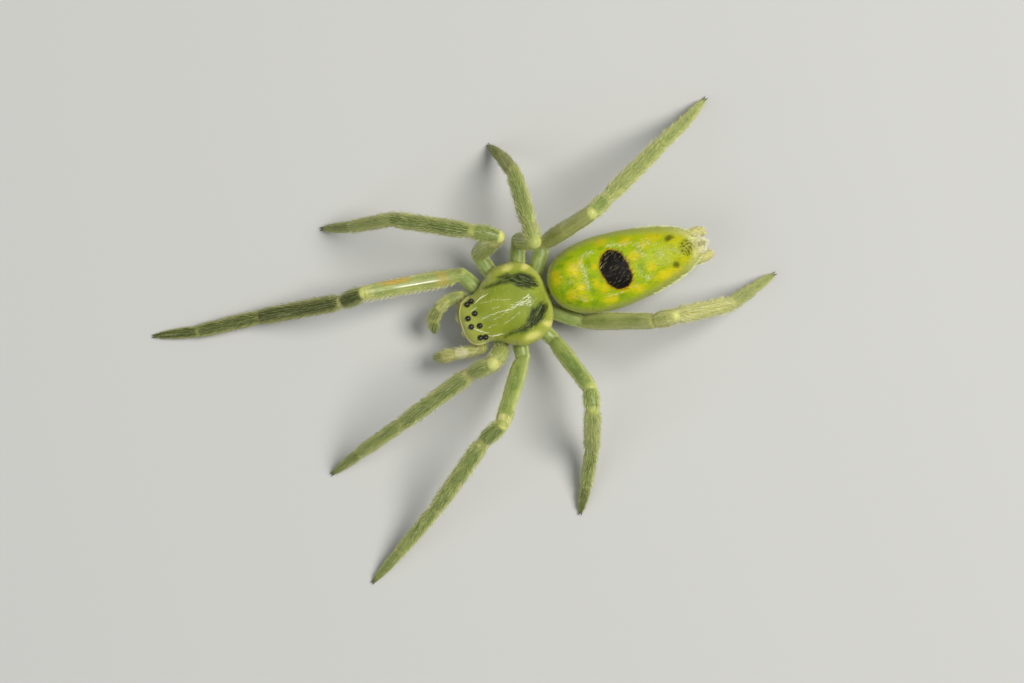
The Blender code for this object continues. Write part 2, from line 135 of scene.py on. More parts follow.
# Thickness of each leg segment from its root to its end
SEGMENTS = ("coxa", "femur", "patella", "tibia", "metatarsus", "tarsus")
SEGMENT_RADII = {
    "coxa": (0.195, 0.235, 0.235, 0.215),
    "femur": (0.185, 0.235, 0.250, 0.250, 0.240, 0.228, 0.238, 0.205),
    "patella": (0.180, 0.225, 0.238, 0.230, 0.190),
    "tibia": (0.170, 0.222, 0.222, 0.216, 0.212, 0.214, 0.180),
    "metatarsus": (0.160, 0.190, 0.182, 0.176, 0.176, 0.150),
    "tarsus": (0.135, 0.156, 0.143, 0.117, 0.066),
}
LEG_VOXEL = 0.023
BODY_VOXEL = 0.020

# Colours that break the plain green of the legs: where along the segment, how far, and how strongly
CREAM_PLACES = {
    (RIGHT, 1, "femur"): ((0.55, 0.48, 0.22), (0.97, 0.06, 0.5)),
    (RIGHT, 1, "tibia"): ((0.00, 0.05, 0.6),),
    (LEFT, 1, "femur"): ((1.00, 0.16, 0.5),),
    (LEFT, 1, "tibia"): ((0.04, 0.05, 0.6),),
    (RIGHT, 2, "femur"): ((1.00, 0.20, 0.7),),
    (LEFT, 2, "femur"): ((0.98, 0.07, 0.9),),
    (LEFT, 2, "tibia"): ((0.03, 0.05, 0.5),),
    (RIGHT, 3, "patella"): ((0.40, 0.70, 0.30),),
    (RIGHT, 4, "femur"): ((0.50, 0.60, 0.40),),
    (RIGHT, 4, "patella"): ((0.90, 0.20, 0.4),),
    (RIGHT, 4, "tibia"): ((0.50, 0.60, 0.20),),
    (RIGHT, 4, "tarsus"): ((0.50, 0.80, 0.15),),
    (LEFT, 4, "femur"): ((0.50, 0.50, 0.26), (1.00, 0.10, 0.4)),
    (LEFT, 4, "patella"): ((0.50, 0.80, 0.6),),
    (LEFT, 4, "tibia"): ((0.50, 0.62, 0.80),),
    (LEFT, 4, "tarsus"): ((0.50, 0.80, 0.15),),
}
DUSK = {
    (RIGHT, 1): (0.0, 0.1, 1.0, 1.0, 0.9, 1.0),
    (LEFT, 1): (0.0, 0.0, 0.2, 0.1, 0.1, 0.45),
    (RIGHT, 2): (0.0, 0.1, 0.35, 0.25, 0.1, 0.6),
    (LEFT, 2): (0.0, 0.0, 0.35, 0.0, 0.1, 0.3),
    (RIGHT, 3): (0.0, 0.0, 0.0, 0.0, 0.8, 1.0),
    (LEFT, 3): (0.0, 0.0, 0.0, 0.0, 0.2, 0.7),
    (RIGHT, 4): (0.0, 0.0, 0.1, 0.0, 0.0, 0.0),
    (LEFT, 4): (0.0, 0.0, 0.0, 0.0, 0.45, 0.25),
}

# Hair on the legs: rows round the segment, spacing along a row, length and slope of a hair
LEG_HAIR = {
    "coxa": (8, 0.110, 0.13, 26),
    "femur": (16, 0.070, 0.16, 26),
    "patella": (18, 0.055, 0.19, 32),
    "tibia": (20, 0.048, 0.23, 30),
    "metatarsus": (19, 0.044, 0.20, 28),
    "tarsus": (17, 0.040, 0.15, 24),
}
# Stout hairs along one edge of a femur: their angle from its top, their spacing and their length
SPINES = {
    (RIGHT, 1): (-78, 0.150, 0.24),
    (LEFT, 1): (78, 0.170, 0.15),
    (LEFT, 2): (80, 0.110, 0.17),
    (LEFT, 4): (-78, 0.140, 0.17),
}
PALP_HAIR = (16, 0.036, 0.19, 34)
SPINNERET_HAIR = (15, 0.038, 0.15, 26)

# A hair is three-sided, sunk a little in the skin, and its unwrap is a small patch at its root, for its colour to be
# baked to
STRAND_RINGS = (0.36, 0.70)
CLAW_RINGS = (0.20, 0.40, 0.60, 0.80)
HAIR_SINK = 0.010
PATCH = 0.003
FLOOR_CLEARANCE = 0.006

random = np.random.default_rng(SEED)


def mix(low, high, share):
    return low + (high - low) * share


def smooth_step(start, end, value):
    share = np.clip((value - start) / (end - start), 0.0, 1.0)
    return share * share * (3.0 - 2.0 * share)


def rounded(share, swell, sharpness):
    """Falls from 1 at share 0 to 0 at share 1, as the end of an egg does."""
    share = min(max(share, 0.0), 1.0)
    return (1.0 - share**swell) ** (1.0 / sharpness)


def unit(vectors):
    return vectors / np.maximum(np.linalg.norm(vectors, axis=-1, keepdims=True), 1e-9)


def spider_offset():
    """Where the point between the eyes, on the floor, lies in the row frame."""
    low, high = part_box("carapace")
    return Vector(((low.x + high.x) / 2, low.y - CARAPACE_FRONT * MM, 0.0))


OFFSET = spider_offset()
TO_ROW = Matrix.Translation(OFFSET) @ Matrix.Scale(MM, 4)


class Value:
    """One number, colour or vector socket of a finish. Arithmetic on it adds Math nodes."""

    def __init__(self, finish, socket):
        self.finish = finish
        self.socket = socket

    def _math(self, operation, *others):
        return self.finish.node("ShaderNodeMath", {"operation": operation}, dict(enumerate((self, *others))))

    def __add__(self, other):
        return self._math("ADD", other)

    def __sub__(self, other):
        return self._math("SUBTRACT", other)

    def __rsub__(self, other):
        return self.finish.node("ShaderNodeMath", {"operation": "SUBTRACT"}, {0: other, 1: self})

    def __mul__(self, other):
        return self._math("MULTIPLY", other)

    def __truediv__(self, other):
        return self._math("DIVIDE", other)

    __radd__ = __add__
    __rmul__ = __mul__

    def least(self, other):
        return self._math("MINIMUM", other)

    def most(self, other):
        return self._math("MAXIMUM", other)

    def step(self, start, end):
        """0 before start, 1 after end, and smooth between them."""
        return self.finish.node(
            "ShaderNodeMapRange",
            {"interpolation_type": "SMOOTHSTEP"},
            {"Value": self, "From Min": start, "From Max": end},
        )


class Finish:
    """A material whose nodes are made one call at a time."""

    def __init__(self, name, **constants):
        self.material = bpy.data.materials.new(name)
        self.material.use_nodes = True
        self.tree = self.material.node_tree
        self.shader = self.tree.nodes["Principled BSDF"]
        for socket, value in constants.items():
            self.shader.inputs[socket.replace("_", " ")].default_value = value

    def node(self, kind, settings=None, inputs=None, output=0):
        made = self.tree.nodes.new(kind)
        for name, value in (settings or {}).items():
            setattr(made, name, value)
        for key, value in (inputs or {}).items():
            self.feed(made.inputs[key], value)
        return Value(self, made.outputs[output])

    def feed(self, socket, value):
        if isinstance(value, Value):
            self.tree.links.new(value.socket, socket)
        elif isinstance(value, (tuple, list)) and len(value) == 3 and socket.type == "RGBA":
            socket.default_value = (*value, 1.0)
        else:
            socket.default_value = value

    def attribute(self, name, output="Fac"):
        return self.node("ShaderNodeAttribute", {"attribute_name": name}, output=output)

    def place(self):
        """The point on the spider in millimetres, in the frame that starts between the eyes."""
        spot = self.node("ShaderNodeTexCoord", output="Object")
        settings = {"Location": tuple(-OFFSET / MM), "Scale": (1 / MM,) * 3}
        return self.node("ShaderNodeMapping", {"vector_type": "POINT"}, {"Vector": spot, **settings})

    def stretched(self, vector, scale):
        return self.node("ShaderNodeMapping", {"vector_type": "POINT"}, {"Vector": vector, "Scale": scale})

    def noise(self, vector, scale, detail=3.0, roughness=0.5, distortion=0.0):
        inputs = {
            "Vector": vector,
            "Scale": scale,
            "Detail": detail,
            "Roughness": roughness,
            "Distortion": distortion,
        }
        return self.node("ShaderNodeTexNoise", {}, inputs)

    def parts(self, vector):
        """The three numbers of a vector."""
        split = self.node("ShaderNodeSeparateXYZ", {}, {"Vector": vector})
        return [Value(self, socket) for socket in split.socket.node.outputs]

    def cells(self, vector, scale, feature="F1", randomness=1.0):
        inputs = {"Vector": vector, "Scale": scale, "Randomness": randomness}
        return self.node("ShaderNodeTexVoronoi", {"feature": feature}, inputs)

    def blend(self, first, second, share):
        """The first colour where share is 0 and the second where it is 1."""
        made = self.tree.nodes.new("ShaderNodeMix")
        made.data_type = "RGBA"
        made.clamp_factor = True
        factor, a, b = (made.inputs[index] for index in (0, 6, 7))
        self.feed(factor, share)
        self.feed(a, first)
        self.feed(b, second)
        return Value(self, made.outputs[2])

    def bump(self, height, distance, strength=1.0):
        inputs = {"Height": height, "Distance": distance, "Strength": strength}
        self.feed(self.shader.inputs["Normal"], self.node("ShaderNodeBump", {}, inputs))

    def set(self, socket, value):
        self.feed(self.shader.inputs[socket], value)


def direction(side, heading, slope):
    """Unit vector of a limb's segment on the given side of the body."""
    heading, slope = math.radians(heading), math.radians(slope)
    flat = math.cos(slope)
    return Vector((side * math.cos(heading) * flat, -math.sin(heading) * flat, math.sin(slope)))


def lofted(front, rear, section, rings, sides):
    """A closed body between two ends on Y. section(y) gives centre x, centre z, half-width, rise and drop."""
    shape = bmesh.new()
    bmesh.ops.create_uvsphere(shape, u_segments=sides, v_segments=rings, radius=1.0)
    for vert in shape.verts:
        y = mix(front, rear, (1.0 - vert.co.z) / 2.0)
        reach = max(math.hypot(vert.co.x, vert.co.y), 1e-6)
        sideways, upwards = vert.co.x / reach, vert.co.y / reach
        centre_x, centre_z, half_width, rise, drop = section(y)
        height = rise if upwards > 0.0 else drop
        vert.co = (centre_x + sideways * half_width, y, centre_z + upwards * height)
    if shape.calc_volume(signed=True) < 0.0:
        bmesh.ops.reverse_faces(shape, faces=shape.faces)
    return shape


def everything(shape):
    return shape.verts[:] + shape.edges[:] + shape.faces[:]


def cut(shape, place_on_cut, away):
    """Removes what lies past the plane on the side that away points to, and closes the cut."""
    bmesh.ops.bisect_plane(
        shape, geom=everything(shape), dist=WELD, plane_co=place_on_cut, plane_no=away, clear_outer=True
    )
    bmesh.ops.holes_fill(shape, edges=shape.edges, sides=0)


def segment(shape, start, end, radii, sides=24, rings=34):
    """Adds one limb segment with ball ends to the shape, its thickness following radii."""
    along = (end - start).normalized()
    turn = along.to_track_quat("Z", "Y").to_matrix()
    made = bmesh.ops.create_uvsphere(shape, u_segments=sides, v_segments=rings, radius=1.0)["verts"]
    length = (end - start).length
    cap = 4
    for vert in made:
        ring = round(math.acos(max(-1.0, min(1.0, -vert.co.z))) / math.pi * rings)
        around = Vector((vert.co.x, vert.co.y, 0.0))
        around = around.normalized() if around.length > 1e-6 else around
        if ring <= cap:
            angle = math.pi / 2 * ring / cap
            size, height = radii[0] * math.sin(angle), -radii[0] * math.cos(angle)
        elif ring >= rings - cap:
            angle = math.pi / 2 * (rings - ring) / cap
            size, height = radii[-1] * math.sin(angle), length + radii[-1] * math.cos(angle)
        else:
            share = (ring - cap) / (rings - 2 * cap)
            spot = share * (len(radii) - 1)
            low = min(int(spot), len(radii) - 2)
            size = mix(radii[low], radii[low + 1], float(smooth_step(0.0, 1.0, spot - low)))
            height = share * length
        vert.co = start + turn @ (around * size + Vector((0, 0, height)))


def fused(shape, voxel, smoothing):
    """One closed skin round all the overlapping bodies of the shape."""
    bmesh.ops.recalc_face_normals(shape, faces=shape.faces)
    rough = bpy.data.meshes.new("rough")
    shape.to_mesh(rough)
    shape.free()
    holder = bpy.data.objects.new("rough", rough)
    bpy.context.scene.collection.objects.link(holder)
    joined = holder.modifiers.new("joined", "REMESH")
    joined.mode = "VOXEL"
    joined.voxel_size = voxel
    joined.adaptivity = 0.0
    soft = holder.modifiers.new("soft", "SMOOTH")
    soft.factor = 0.5
    soft.iterations = smoothing
    evaluated = holder.evaluated_get(bpy.context.evaluated_depsgraph_get())
    mesh = bpy.data.meshes.new_from_object(evaluated)
    bpy.data.objects.remove(holder)
    bpy.data.meshes.remove(rough)
    return mesh


def mesh_from(shape):
    mesh = bpy.data.meshes.new("piece")
    shape.to_mesh(mesh)
    shape.free()
    return mesh


def surface_of(mesh):
    """A tree of the millimetre mesh's faces, which hairs and eyes find their places on."""
    shape = bmesh.new()
    shape.from_mesh(mesh)
    tree = BVHTree.FromBMesh(shape)
    shape.free()
    return tree


def coordinates(mesh):
    places = np.empty(len(mesh.vertices) * 3)
    mesh.vertices.foreach_get("co", places)
    return places.reshape(-1, 3)


def set_attributes(mesh, fields):
    """Stores each field's numbers or vectors, one for each point of the mesh."""
    for name, values in fields.items():
        values = np.asarray(values, dtype=np.float32)
        kind = "FLOAT_VECTOR" if values.ndim == 2 else "FLOAT"
        made = mesh.attributes.new(name, kind, "POINT")
        made.data.foreach_set("vector" if kind == "FLOAT_VECTOR" else "value", values.ravel())


def place(mesh, name, finish, slot, nodes=()):
    """Makes a millimetre mesh a piece of the spider, standing for the given nodes."""
    mesh.name = name
    mesh.transform(TO_ROW)
    mesh.materials.clear()
    mesh.materials.append(finish.material)
    mesh.shade_smooth()
    made = bpy.data.objects.new(name, mesh)
    bpy.context.scene.collection.objects.link(made)
    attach(made, "root")
    if nodes:
        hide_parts(*nodes)
    return made


def strand_shape(sides, rings):
    """A straight spike of unit length along Z: its points, and the points of each of its faces."""
    shape = bmesh.new()
    raised = Matrix.Translation((0, 0, 0.5))
    bmesh.ops.create_cone(
        shape, cap_ends=True, segments=sides, radius1=1.0, radius2=0.0, depth=1.0, matrix=raised
    )
    bmesh.ops.remove_doubles(shape, verts=shape.verts, dist=1e-4)
    for height in rings:
        bmesh.ops.bisect_plane(
            shape, geom=everything(shape), dist=WELD, plane_co=(0, 0, height), plane_no=(0, 0, 1)
        )
    bmesh.ops.recalc_face_normals(shape, faces=shape.faces)
    shape.verts.index_update()
    points = np.array([vert.co[:] for vert in shape.verts])
    faces = [[vert.index for vert in face.verts] for face in shape.faces]
    shape.free()
    return points, faces


class Roots:
    """Where hairs grow: places and normals on a skin, the way each hair lies, and its spot on the unwrap."""

    def __init__(self):
        self.places, self.normals, self.lies, self.unwraps = [], [], [], []
        self.lengths, self.widths, self.slopes, self.tones = [], [], [], []

    def add(self, place, normal, lie, unwrap, length, width, slope, tone):
        self.places.append(place[:])
        self.normals.append(normal[:])
        self.lies.append(lie[:])
        self.unwraps.append(unwrap)
        self.lengths.append(length)
        self.widths.append(width)
        self.slopes.append(slope)
        self.tones.append(tone)


def coat(name, slot, finish, roots, fields, sides=3, rings=STRAND_RINGS, bend=0.30):
    """Joins one tapered hair for each root in a mesh, with the fields of its root on all its points."""
    points, faces = strand_shape(sides, rings)
    share = points[:, 2][None, :, None]
    around = np.arctan2(points[:, 1], points[:, 0])[None, :, None]
    round_off = 1.0 - (np.hypot(points[:, 0], points[:, 1]) < 1e-6)
    places, normals = np.array(roots.places)[:, None, :], np.array(roots.normals)[:, None, :]
    lies = np.array(roots.lies)[:, None, :]
    lies = unit(lies - (lies * normals).sum(axis=2, keepdims=True) * normals)
    across = np.cross(normals, lies)
    slopes = np.radians(np.array(roots.slopes))[:, None, None]
    lengths = np.array(roots.lengths)[:, None, None]
    radii = np.array(roots.widths)[:, None, None] / 2 * (1.0 - share**1.5) * round_off[None, :, None]
    forward = np.cos(slopes)
    upward = np.sin(slopes) - 2.0 * bend * np.sin(slopes) * share
    path = lies * forward * share + normals * (np.sin(slopes) * share - bend * np.sin(slopes) * share**2)
    over = unit(normals * forward - lies * upward)
    spots = places - normals * HAIR_SINK + path * lengths
    spots = spots + radii * (across * np.cos(around) + over * np.sin(around))
    clear = spots[:, :, 2].min(axis=1) > FLOOR_CLEARANCE
    spots = spots[clear]
    count, size = spots.shape[:2]
    starts = size * np.arange(count)[:, None]
    listed = [face for corners in faces for face in (starts + np.array(corners)).tolist()]
    mesh = bpy.data.meshes.new(name)
    mesh.from_pydata(spots.reshape(-1, 3).tolist(), [], listed)
    patch = np.stack([around[0, :, 0] / (2 * math.pi), points[:, 2] - 0.5], axis=1) * PATCH
    unwrap = np.clip(np.array(roots.unwraps)[clear], PATCH, 1.0 - PATCH)[:, None, :] + patch[None]
    corners = np.empty(len(mesh.loops), dtype=np.int32)
    mesh.loops.foreach_get("vertex_index", corners)
    layer = mesh.uv_layers.new(name="OFBake")
    layer.data.foreach_set("uv", unwrap.reshape(-1, 2)[corners].astype(np.float32).ravel())
    fields = {"tone": np.array(roots.tones), **fields}
    set_attributes(mesh, {field: np.repeat(values[clear], size, axis=0) for field, values in fields.items()})
    return place(mesh, name, finish, slot)


def blob(x, y, centre_x, centre_y, reach_x, reach_y, turn=0.0):
    """1 in the middle of an oval spot, 0 on its edge and negative outside it."""
    cosine, sine = math.cos(math.radians(turn)), math.sin(math.radians(turn))
    across = (x - centre_x) * cosine + (y - centre_y) * sine
    along = (y - centre_y) * cosine - (x - centre_x) * sine
    return 1.0 - np.sqrt((across / reach_x) ** 2 + (along / reach_y) ** 2)


def stroke(x, y, points, widths):
    """Positive within half a width of a line through the points, in millimetres, and negative outside it."""
    best = np.full(np.shape(x), -9.0)
    for (x0, y0), (x1, y1), w0, w1 in zip(points, points[1:], widths, widths[1:]):
        dx, dy = x1 - x0, y1 - y0
        share = np.clip(((x - x0) * dx + (y - y0) * dy) / (dx * dx + dy * dy), 0.0, 1.0)
        away = np.hypot(x - x0 - share * dx, y - y0 - share * dy)
        best = np.maximum(best, (mix(w0, w1, share) / 2 - away))
    return best


def carapace_section(y):
    thorax = float(smooth_step(0.15, 1.20, y))
    nose = rounded(-y / -CARAPACE_FRONT, 2.5, 2.5)
    tail = rounded((y - THORAX_WIDEST_Y) / (CARAPACE_REAR - THORAX_WIDEST_Y), 2.6, 2.6)
    half_width = mix(HEAD_HALF_WIDTH, THORAX_HALF_WIDTH, thorax) * nose * tail
    brow = rounded(-y / -CARAPACE_FRONT, 3.0, 3.0)
    back = rounded((y - 0.9) / (CARAPACE_REAR - 0.9), 2.2, 1.8)
    rise = mix(HEAD_HEIGHT, THORAX_HEIGHT, float(smooth_step(-0.3, 1.1, y))) * brow * back
    return 0.0, CARAPACE_EDGE, half_width, rise, 0.10


def abdomen_axis(y):
    share = (y - ABDOMEN_FRONT) / (ABDOMEN_TIP - ABDOMEN_FRONT)
    return ABDOMEN_TURN * (y - ABDOMEN_FRONT), mix(ABDOMEN_FRONT_Z, ABDOMEN_REAR_Z, share)


def abdomen_section(y):
    if y < ABDOMEN_WIDEST_Y:
        size = rounded((ABDOMEN_WIDEST_Y - y) / (ABDOMEN_WIDEST_Y - ABDOMEN_FRONT), 2.3, 2.3)
    else:
        size = rounded((y - ABDOMEN_WIDEST_Y) / (ABDOMEN_TIP - ABDOMEN_WIDEST_Y), 1.5, 2.7)
    centre_x, centre_z = abdomen_axis(y)
    sizes = (ABDOMEN_HALF_WIDTH, ABDOMEN_TOP_HEIGHT, ABDOMEN_BELLY_DEPTH)
    return (centre_x, centre_z, *(part * size for part in sizes))


def sternum_face(side, pair):
    near, far = (Vector((side * x, y, 0)) for x, y in STERNUM_CORNERS[pair - 1 : pair + 1])
    return (near + far) / 2 + Vector((0, 0, COXA_ROOT_Z))


def leg_joints(side, pair):
    """The leg's joints from the sternum's side to the tip, and the upward direction of each segment."""
    stretch, trochanter, segments, tarsus_heading = LEG_POSES[side, pair]
    root = sternum_face(side, pair)
    joints = [root, Vector(trochanter) * Vector((side, 1, 1))]
    tops = [Vector((0, 0, 1))]
    lengths = [length * stretch for length in LEG_LENGTHS[pair]]
    for length, (heading, slope) in zip(lengths, segments):
        joints.append(joints[-1] + direction(side, heading, slope) * length)
        tops.append(direction(side, heading, slope + 90))
    drop = (joints[-1].z - FOOT_TIP_Z) / lengths[-1]
    slope = -math.degrees(math.asin(drop))
    joints.append(joints[-1] + direction(side, tarsus_heading, slope) * lengths[-1])
    tops.append(direction(side, tarsus_heading, slope + 90))
    return joints, tops


def along_limb(places, joints, tops):
    """For each place: its segment and share along it, the limb vector, nearness to a joint and upwardness."""
    places = np.asarray(places)
    best = np.full(len(places), 99.0)
    part = np.zeros(len(places), int)
    share = np.zeros(len(places))
    upward = np.zeros(len(places))
    limb = np.zeros((len(places), 3))
    walked = 0.0
    for index, (start, end, top) in enumerate(zip(joints, joints[1:], tops)):
        along = np.array((end - start).normalized())
        length = (end - start).length
        top = np.array(top)
        side = np.cross(along, top)
        rel = places - np.array(start)
        reach = np.clip(rel @ along, 0.0, length)
        off = rel - reach[:, None] * along
        away = np.linalg.norm(off, axis=1)
        nearer = away < best
        best[nearer] = away[nearer]
        part[nearer] = index
        share[nearer] = reach[nearer] / length
        flat = np.maximum(away, 1e-6)
        around = np.stack([off @ top / flat, off @ side / flat, walked + reach], axis=1)
        limb[nearer] = around[nearer]
        upward[nearer] = (off[:, 2] / flat)[nearer]
        walked += length
    ends = np.cumsum([0.0] + [(b - a).length for a, b in zip(joints, joints[1:])])
    nearness = np.min(np.abs(limb[:, 2:3] - ends[None, 1:-1]), axis=1)
    return part, share, limb, nearness, upward


def leg_colours(finish):
    """Glassy pale green with a darker core, creamy knees and rings, dusky outer segments, and painted white
    highlights.
    """
    limb = finish.attribute("limb", "Vector")
    cream, dusk, amber = finish.parts(finish.attribute("accents", "Vector"))
    core, joint, painted_highlight = finish.parts(finish.attribute("bands", "Vector"))
    lines = finish.noise(finish.stretched(limb, (5.5, 5.5, 0.45)), 1.0, 4.0, 0.62)
    dashes = finish.noise(finish.stretched(limb, (13.0, 13.0, 3.2)), 1.0, 3.0, 0.6)
    clouds = finish.noise(finish.stretched(limb, (0.7, 0.7, 1.6)), 1.2, 3.0, 0.6)
    deep = finish.blend((0.175, 0.245, 0.060), (0.295, 0.360, 0.095), clouds.step(0.35, 0.65))
    pale = finish.blend((0.420, 0.480, 0.150), (0.560, 0.590, 0.220), clouds.step(0.35, 0.65))
    green = finish.blend(pale, deep, core)
    dusky = finish.blend((0.250, 0.275, 0.060), (0.060, 0.080, 0.012), core)
    green = finish.blend(green, dusky, dusk)
    streaked = finish.blend(green, (0.470, 0.520, 0.190), lines.step(0.52, 0.70) * (0.55 - dusk * 0.25))
    dashed = finish.blend(streaked, (0.560, 0.580, 0.260), dashes.step(0.58, 0.74) * 0.30)
    creamy = finish.blend((0.400, 0.400, 0.110), (0.700, 0.670, 0.300), lines.step(0.34, 0.60))
    creamy = finish.blend(creamy, (0.300, 0.250, 0.090), dashes.step(0.58, 0.76) * 0.40)
    coloured = finish.blend(dashed, creamy, cream)
    golden = finish.blend(coloured, (0.600, 0.360, 0.045), amber * dashes.step(0.25, 0.55))
    ringed = finish.blend(golden, (0.560, 0.570, 0.160), joint * 0.45)
    # The last blend mixes in white where the painted highlight is set: painted light, not a colour of the skin.
    return finish.blend(ringed, (0.95, 0.93, 0.80), painted_highlight), lines, dashes, dusk


def leg_finish():
    finish = Finish(
        "waxy_pale_green",
        Roughness=0.34,
        IOR=1.42,
        Subsurface_Weight=0.60,
        Subsurface_Radius=(0.9, 1.0, 0.40),
        Subsurface_Scale=0.00020,
        Specular_IOR_Level=0.40,
    )
    colour, lines, dashes, _ = leg_colours(finish)
    grain = finish.noise(finish.place(), 22.0, 3.0, 0.6)
    finish.set("Base Color", colour)
    finish.set("Roughness", 0.20 + grain * 0.22)
    finish.bump(lines * 0.4 + dashes * 0.4 + grain * 0.2, 0.000020, 0.6)
    return finish


def leg_hair_finish():
    """Straw-coloured hairs, which take some of the colour of the skin that they grow on."""
    finish = Finish("straw_hair", Roughness=0.38, Specular_IOR_Level=0.35)
    colour, _, _, dusk = leg_colours(finish)
    tone = finish.attribute("tone")
    straw = finish.blend((0.40, 0.41, 0.11), (0.88, 0.86, 0.42), tone)
    share = 0.28 + tone * 0.42 - dusk * 0.26
    finish.set("Base Color", finish.blend(colour, straw, share))
    return finish


def claw_finish():
    finish = Finish("dark_horn", Roughness=0.22, IOR=1.5)
    grain = finish.noise(finish.place(), 18.0, 2.0, 0.5)
    finish.set("Base Color", finish.blend((0.018, 0.013, 0.008), (0.060, 0.035, 0.015), grain.step(0.3, 0.7)))
    return finish


def limb_fields(places, joints, tops, accents_of):
    """The limb attributes of points on a limb, with accents_of(part, share, limb) for its colours."""
    part, share, limb, nearness, upward = along_limb(places, joints, tops)
    accents, painted_highlight = accents_of(part, share, limb)
    joint = 1.0 - smooth_step(0.02, 0.08, nearness)
    # The first segment (a leg's coxa, a palp's root) gets less of the darker core, so it is painted paler: painted
    # light against the shade it lies in under the carapace.
    core = np.where(part == 0, 0.85, 1.0) * smooth_step(0.38, 0.76, upward)
    # bands holds the darker core, the joint rings and the painted highlight.
    return {"limb": limb, "accents": accents, "bands": np.stack([core, joint, painted_highlight], axis=1)}


def leg_accents(side, pair):
    def accents_of(part, share, limb):
        cream = np.zeros(len(part))
        for index, kind in enumerate(SEGMENTS):
            for middle, reach, strength in CREAM_PLACES.get((side, pair, kind), ()):
                near = strength * (1.0 - smooth_step(0.75, 1.15, np.abs(share - middle) / reach))
                cream = np.where(part == index, np.maximum(cream, near), cream)
        foot = 0.85 * smooth_step(0.80, 1.0, share) * (part == SEGMENTS.index("tarsus"))
        dusk = np.maximum(np.array(DUSK[side, pair])[part] * (1.0 - cream), foot)
        amber = np.zeros(len(part))
        painted_highlight = np.zeros(len(part))
        # The right front femur gets a painted highlight: a white streak along its top, where a reflection of the
        # light falls. The orange patch and the small pink spot beside it are its own colours.
        if (side, pair) == (RIGHT, 1):
            on_femur = part == SEGMENTS.index("femur")
            off_line = np.abs(limb[:, 1] + 0.12 - 0.25 * (share - 0.45))
            painted_highlight_streak = (1.0 - smooth_step(0.02, 0.09, off_line)) * (limb[:, 0] > 0)
            reach = smooth_step(0.20, 0.34, share) * (1.0 - smooth_step(0.60, 0.76, share))
            painted_highlight = np.where(on_femur, painted_highlight_streak * reach, 0.0)
            tint = smooth_step(0.50, 0.60, share) * (1.0 - smooth_step(0.78, 0.86, share))
            upper = smooth_step(0.25, 0.60, limb[:, 1]) * smooth_step(-0.5, 0.1, limb[:, 0])
            pink = 0.4 * (1.0 - smooth_step(0.03, 0.08, np.abs(share - 0.22))) * (limb[:, 0] > 0.5)
            amber = np.where(on_femur, np.maximum(0.85 * tint * upper, pink), 0.0)
        return np.stack([cream, dusk, amber], axis=1), painted_highlight

    return accents_of


def limb_roots(tree, joints, tops, plans, whole):
    """Roots in rows along a limb's segments, each hair leaning towards the limb's tip."""
    roots = Roots()
    walked = 0.0
    for (start, end, top), plan in zip(zip(joints, joints[1:], tops), plans):
        along = (end - start).normalized()
        side = along.cross(top)
        span = (end - start).length
        rows, step, length, slope = plan
        for row in range(rows):
            for spot in range(int(span / step)):
                reach = (spot + random.random()) * step
                angle = 2 * math.pi * (row + 0.36 * random.random()) / rows
                outwards = top * math.cos(angle) + side * math.sin(angle)
                from_outside = start + along * reach + outwards * 0.6
                hit, normal, _, _ = tree.ray_cast(from_outside, -outwards, 0.6)
                size, thin, lean, tone = random.random(4)
                if hit is None:
                    continue
                lie = along + outwards.cross(along) * (0.5 * random.random() - 0.25)
                unwrap = (angle / (2 * math.pi), (walked + reach) / whole)
                slant = slope * (0.5 + 1.6 * lean**2)
                size = length * (0.6 + 0.7 * size) * (1.0 - 0.5 * reach / span if end == joints[-1] else 1.0)
                roots.add(hit, normal, lie, unwrap, size, 0.012 + 0.007 * thin, slant, tone)
        walked += span
    return roots


def add_spines(roots, tree, joints, tops, whole, angle, step, length):
    """A row of stout pale hairs along one edge of the femur."""
    start, end, top = joints[1], joints[2], tops[1]
    along = (end - start).normalized()
    turn = math.radians(angle)
    outwards = top * math.cos(turn) + along.cross(top) * math.sin(turn)
    walked = (start - joints[0]).length
    for reach in np.arange(0.3, (end - start).length, step):
        reach += 0.3 * step * random.random()
        hit, normal, _, _ = tree.ray_cast(start + along * reach + outwards * 0.6, -outwards, 0.6)
        if hit is not None:
            unwrap = (angle / 360 % 1.0, (walked + reach) / whole)
            roots.add(hit, normal, along, unwrap, length * (0.8 + 0.4 * random.random()), 0.038, 40, 1.0)


def make_leg(side, pair, finish, hair, horn):
    name = f"leg_{SIDE_NAMES[side]}_{pair}"
    joints, tops = leg_joints(side, pair)
    shape = bmesh.new()
    for kind, start, end in zip(SEGMENTS, joints, joints[1:]):
        if kind == "coxa":
            start = start + (start - end).normalized() * 0.12
        segment(shape, start, end, SEGMENT_RADII[kind])
    cut(shape, (0, 0, 0.004), (0, 0, -1))
    mesh = fused(shape, LEG_VOXEL, 3)
    tree = surface_of(mesh)
    accents_of = leg_accents(side, pair)
    set_attributes(mesh, limb_fields(coordinates(mesh), joints, tops, accents_of))
    nodes = [f"{name}_{part_name}" for part_name in ("coxa", "femur", "tibia", "foot")]
    place(mesh, name, finish, "leg", nodes)

    whole = sum((end - start).length for start, end in zip(joints, joints[1:]))
    roots = limb_roots(tree, joints, tops, [LEG_HAIR[kind] for kind in SEGMENTS], whole)
    if (side, pair) in SPINES:
        add_spines(roots, tree, joints, tops, whole, *SPINES[side, pair])
    fields = limb_fields(roots.places, joints, tops, accents_of)
    coat(f"{name}_hair", "leg", hair, roots, fields)

    up = Vector((0, 0, 1))
    forward = joints[-1] - joints[-2]
    level = Vector((forward.x, forward.y, 0)).normalized()
    sideways = level.cross(up)
    claws = Roots()
    for turn in (-1, 1):
        root = joints[-1] + level * 0.050 + sideways * 0.030 * turn + up * 0.025
        lie = level + sideways * 0.25 * turn
        claws.add(root, up, lie, (0.5 + 0.1 * turn, 0.5), 0.10, 0.034, 28, 0.5)
    coat(f"{name}_claws", "leg", horn, claws, {}, sides=8, rings=CLAW_RINGS, bend=1.25)


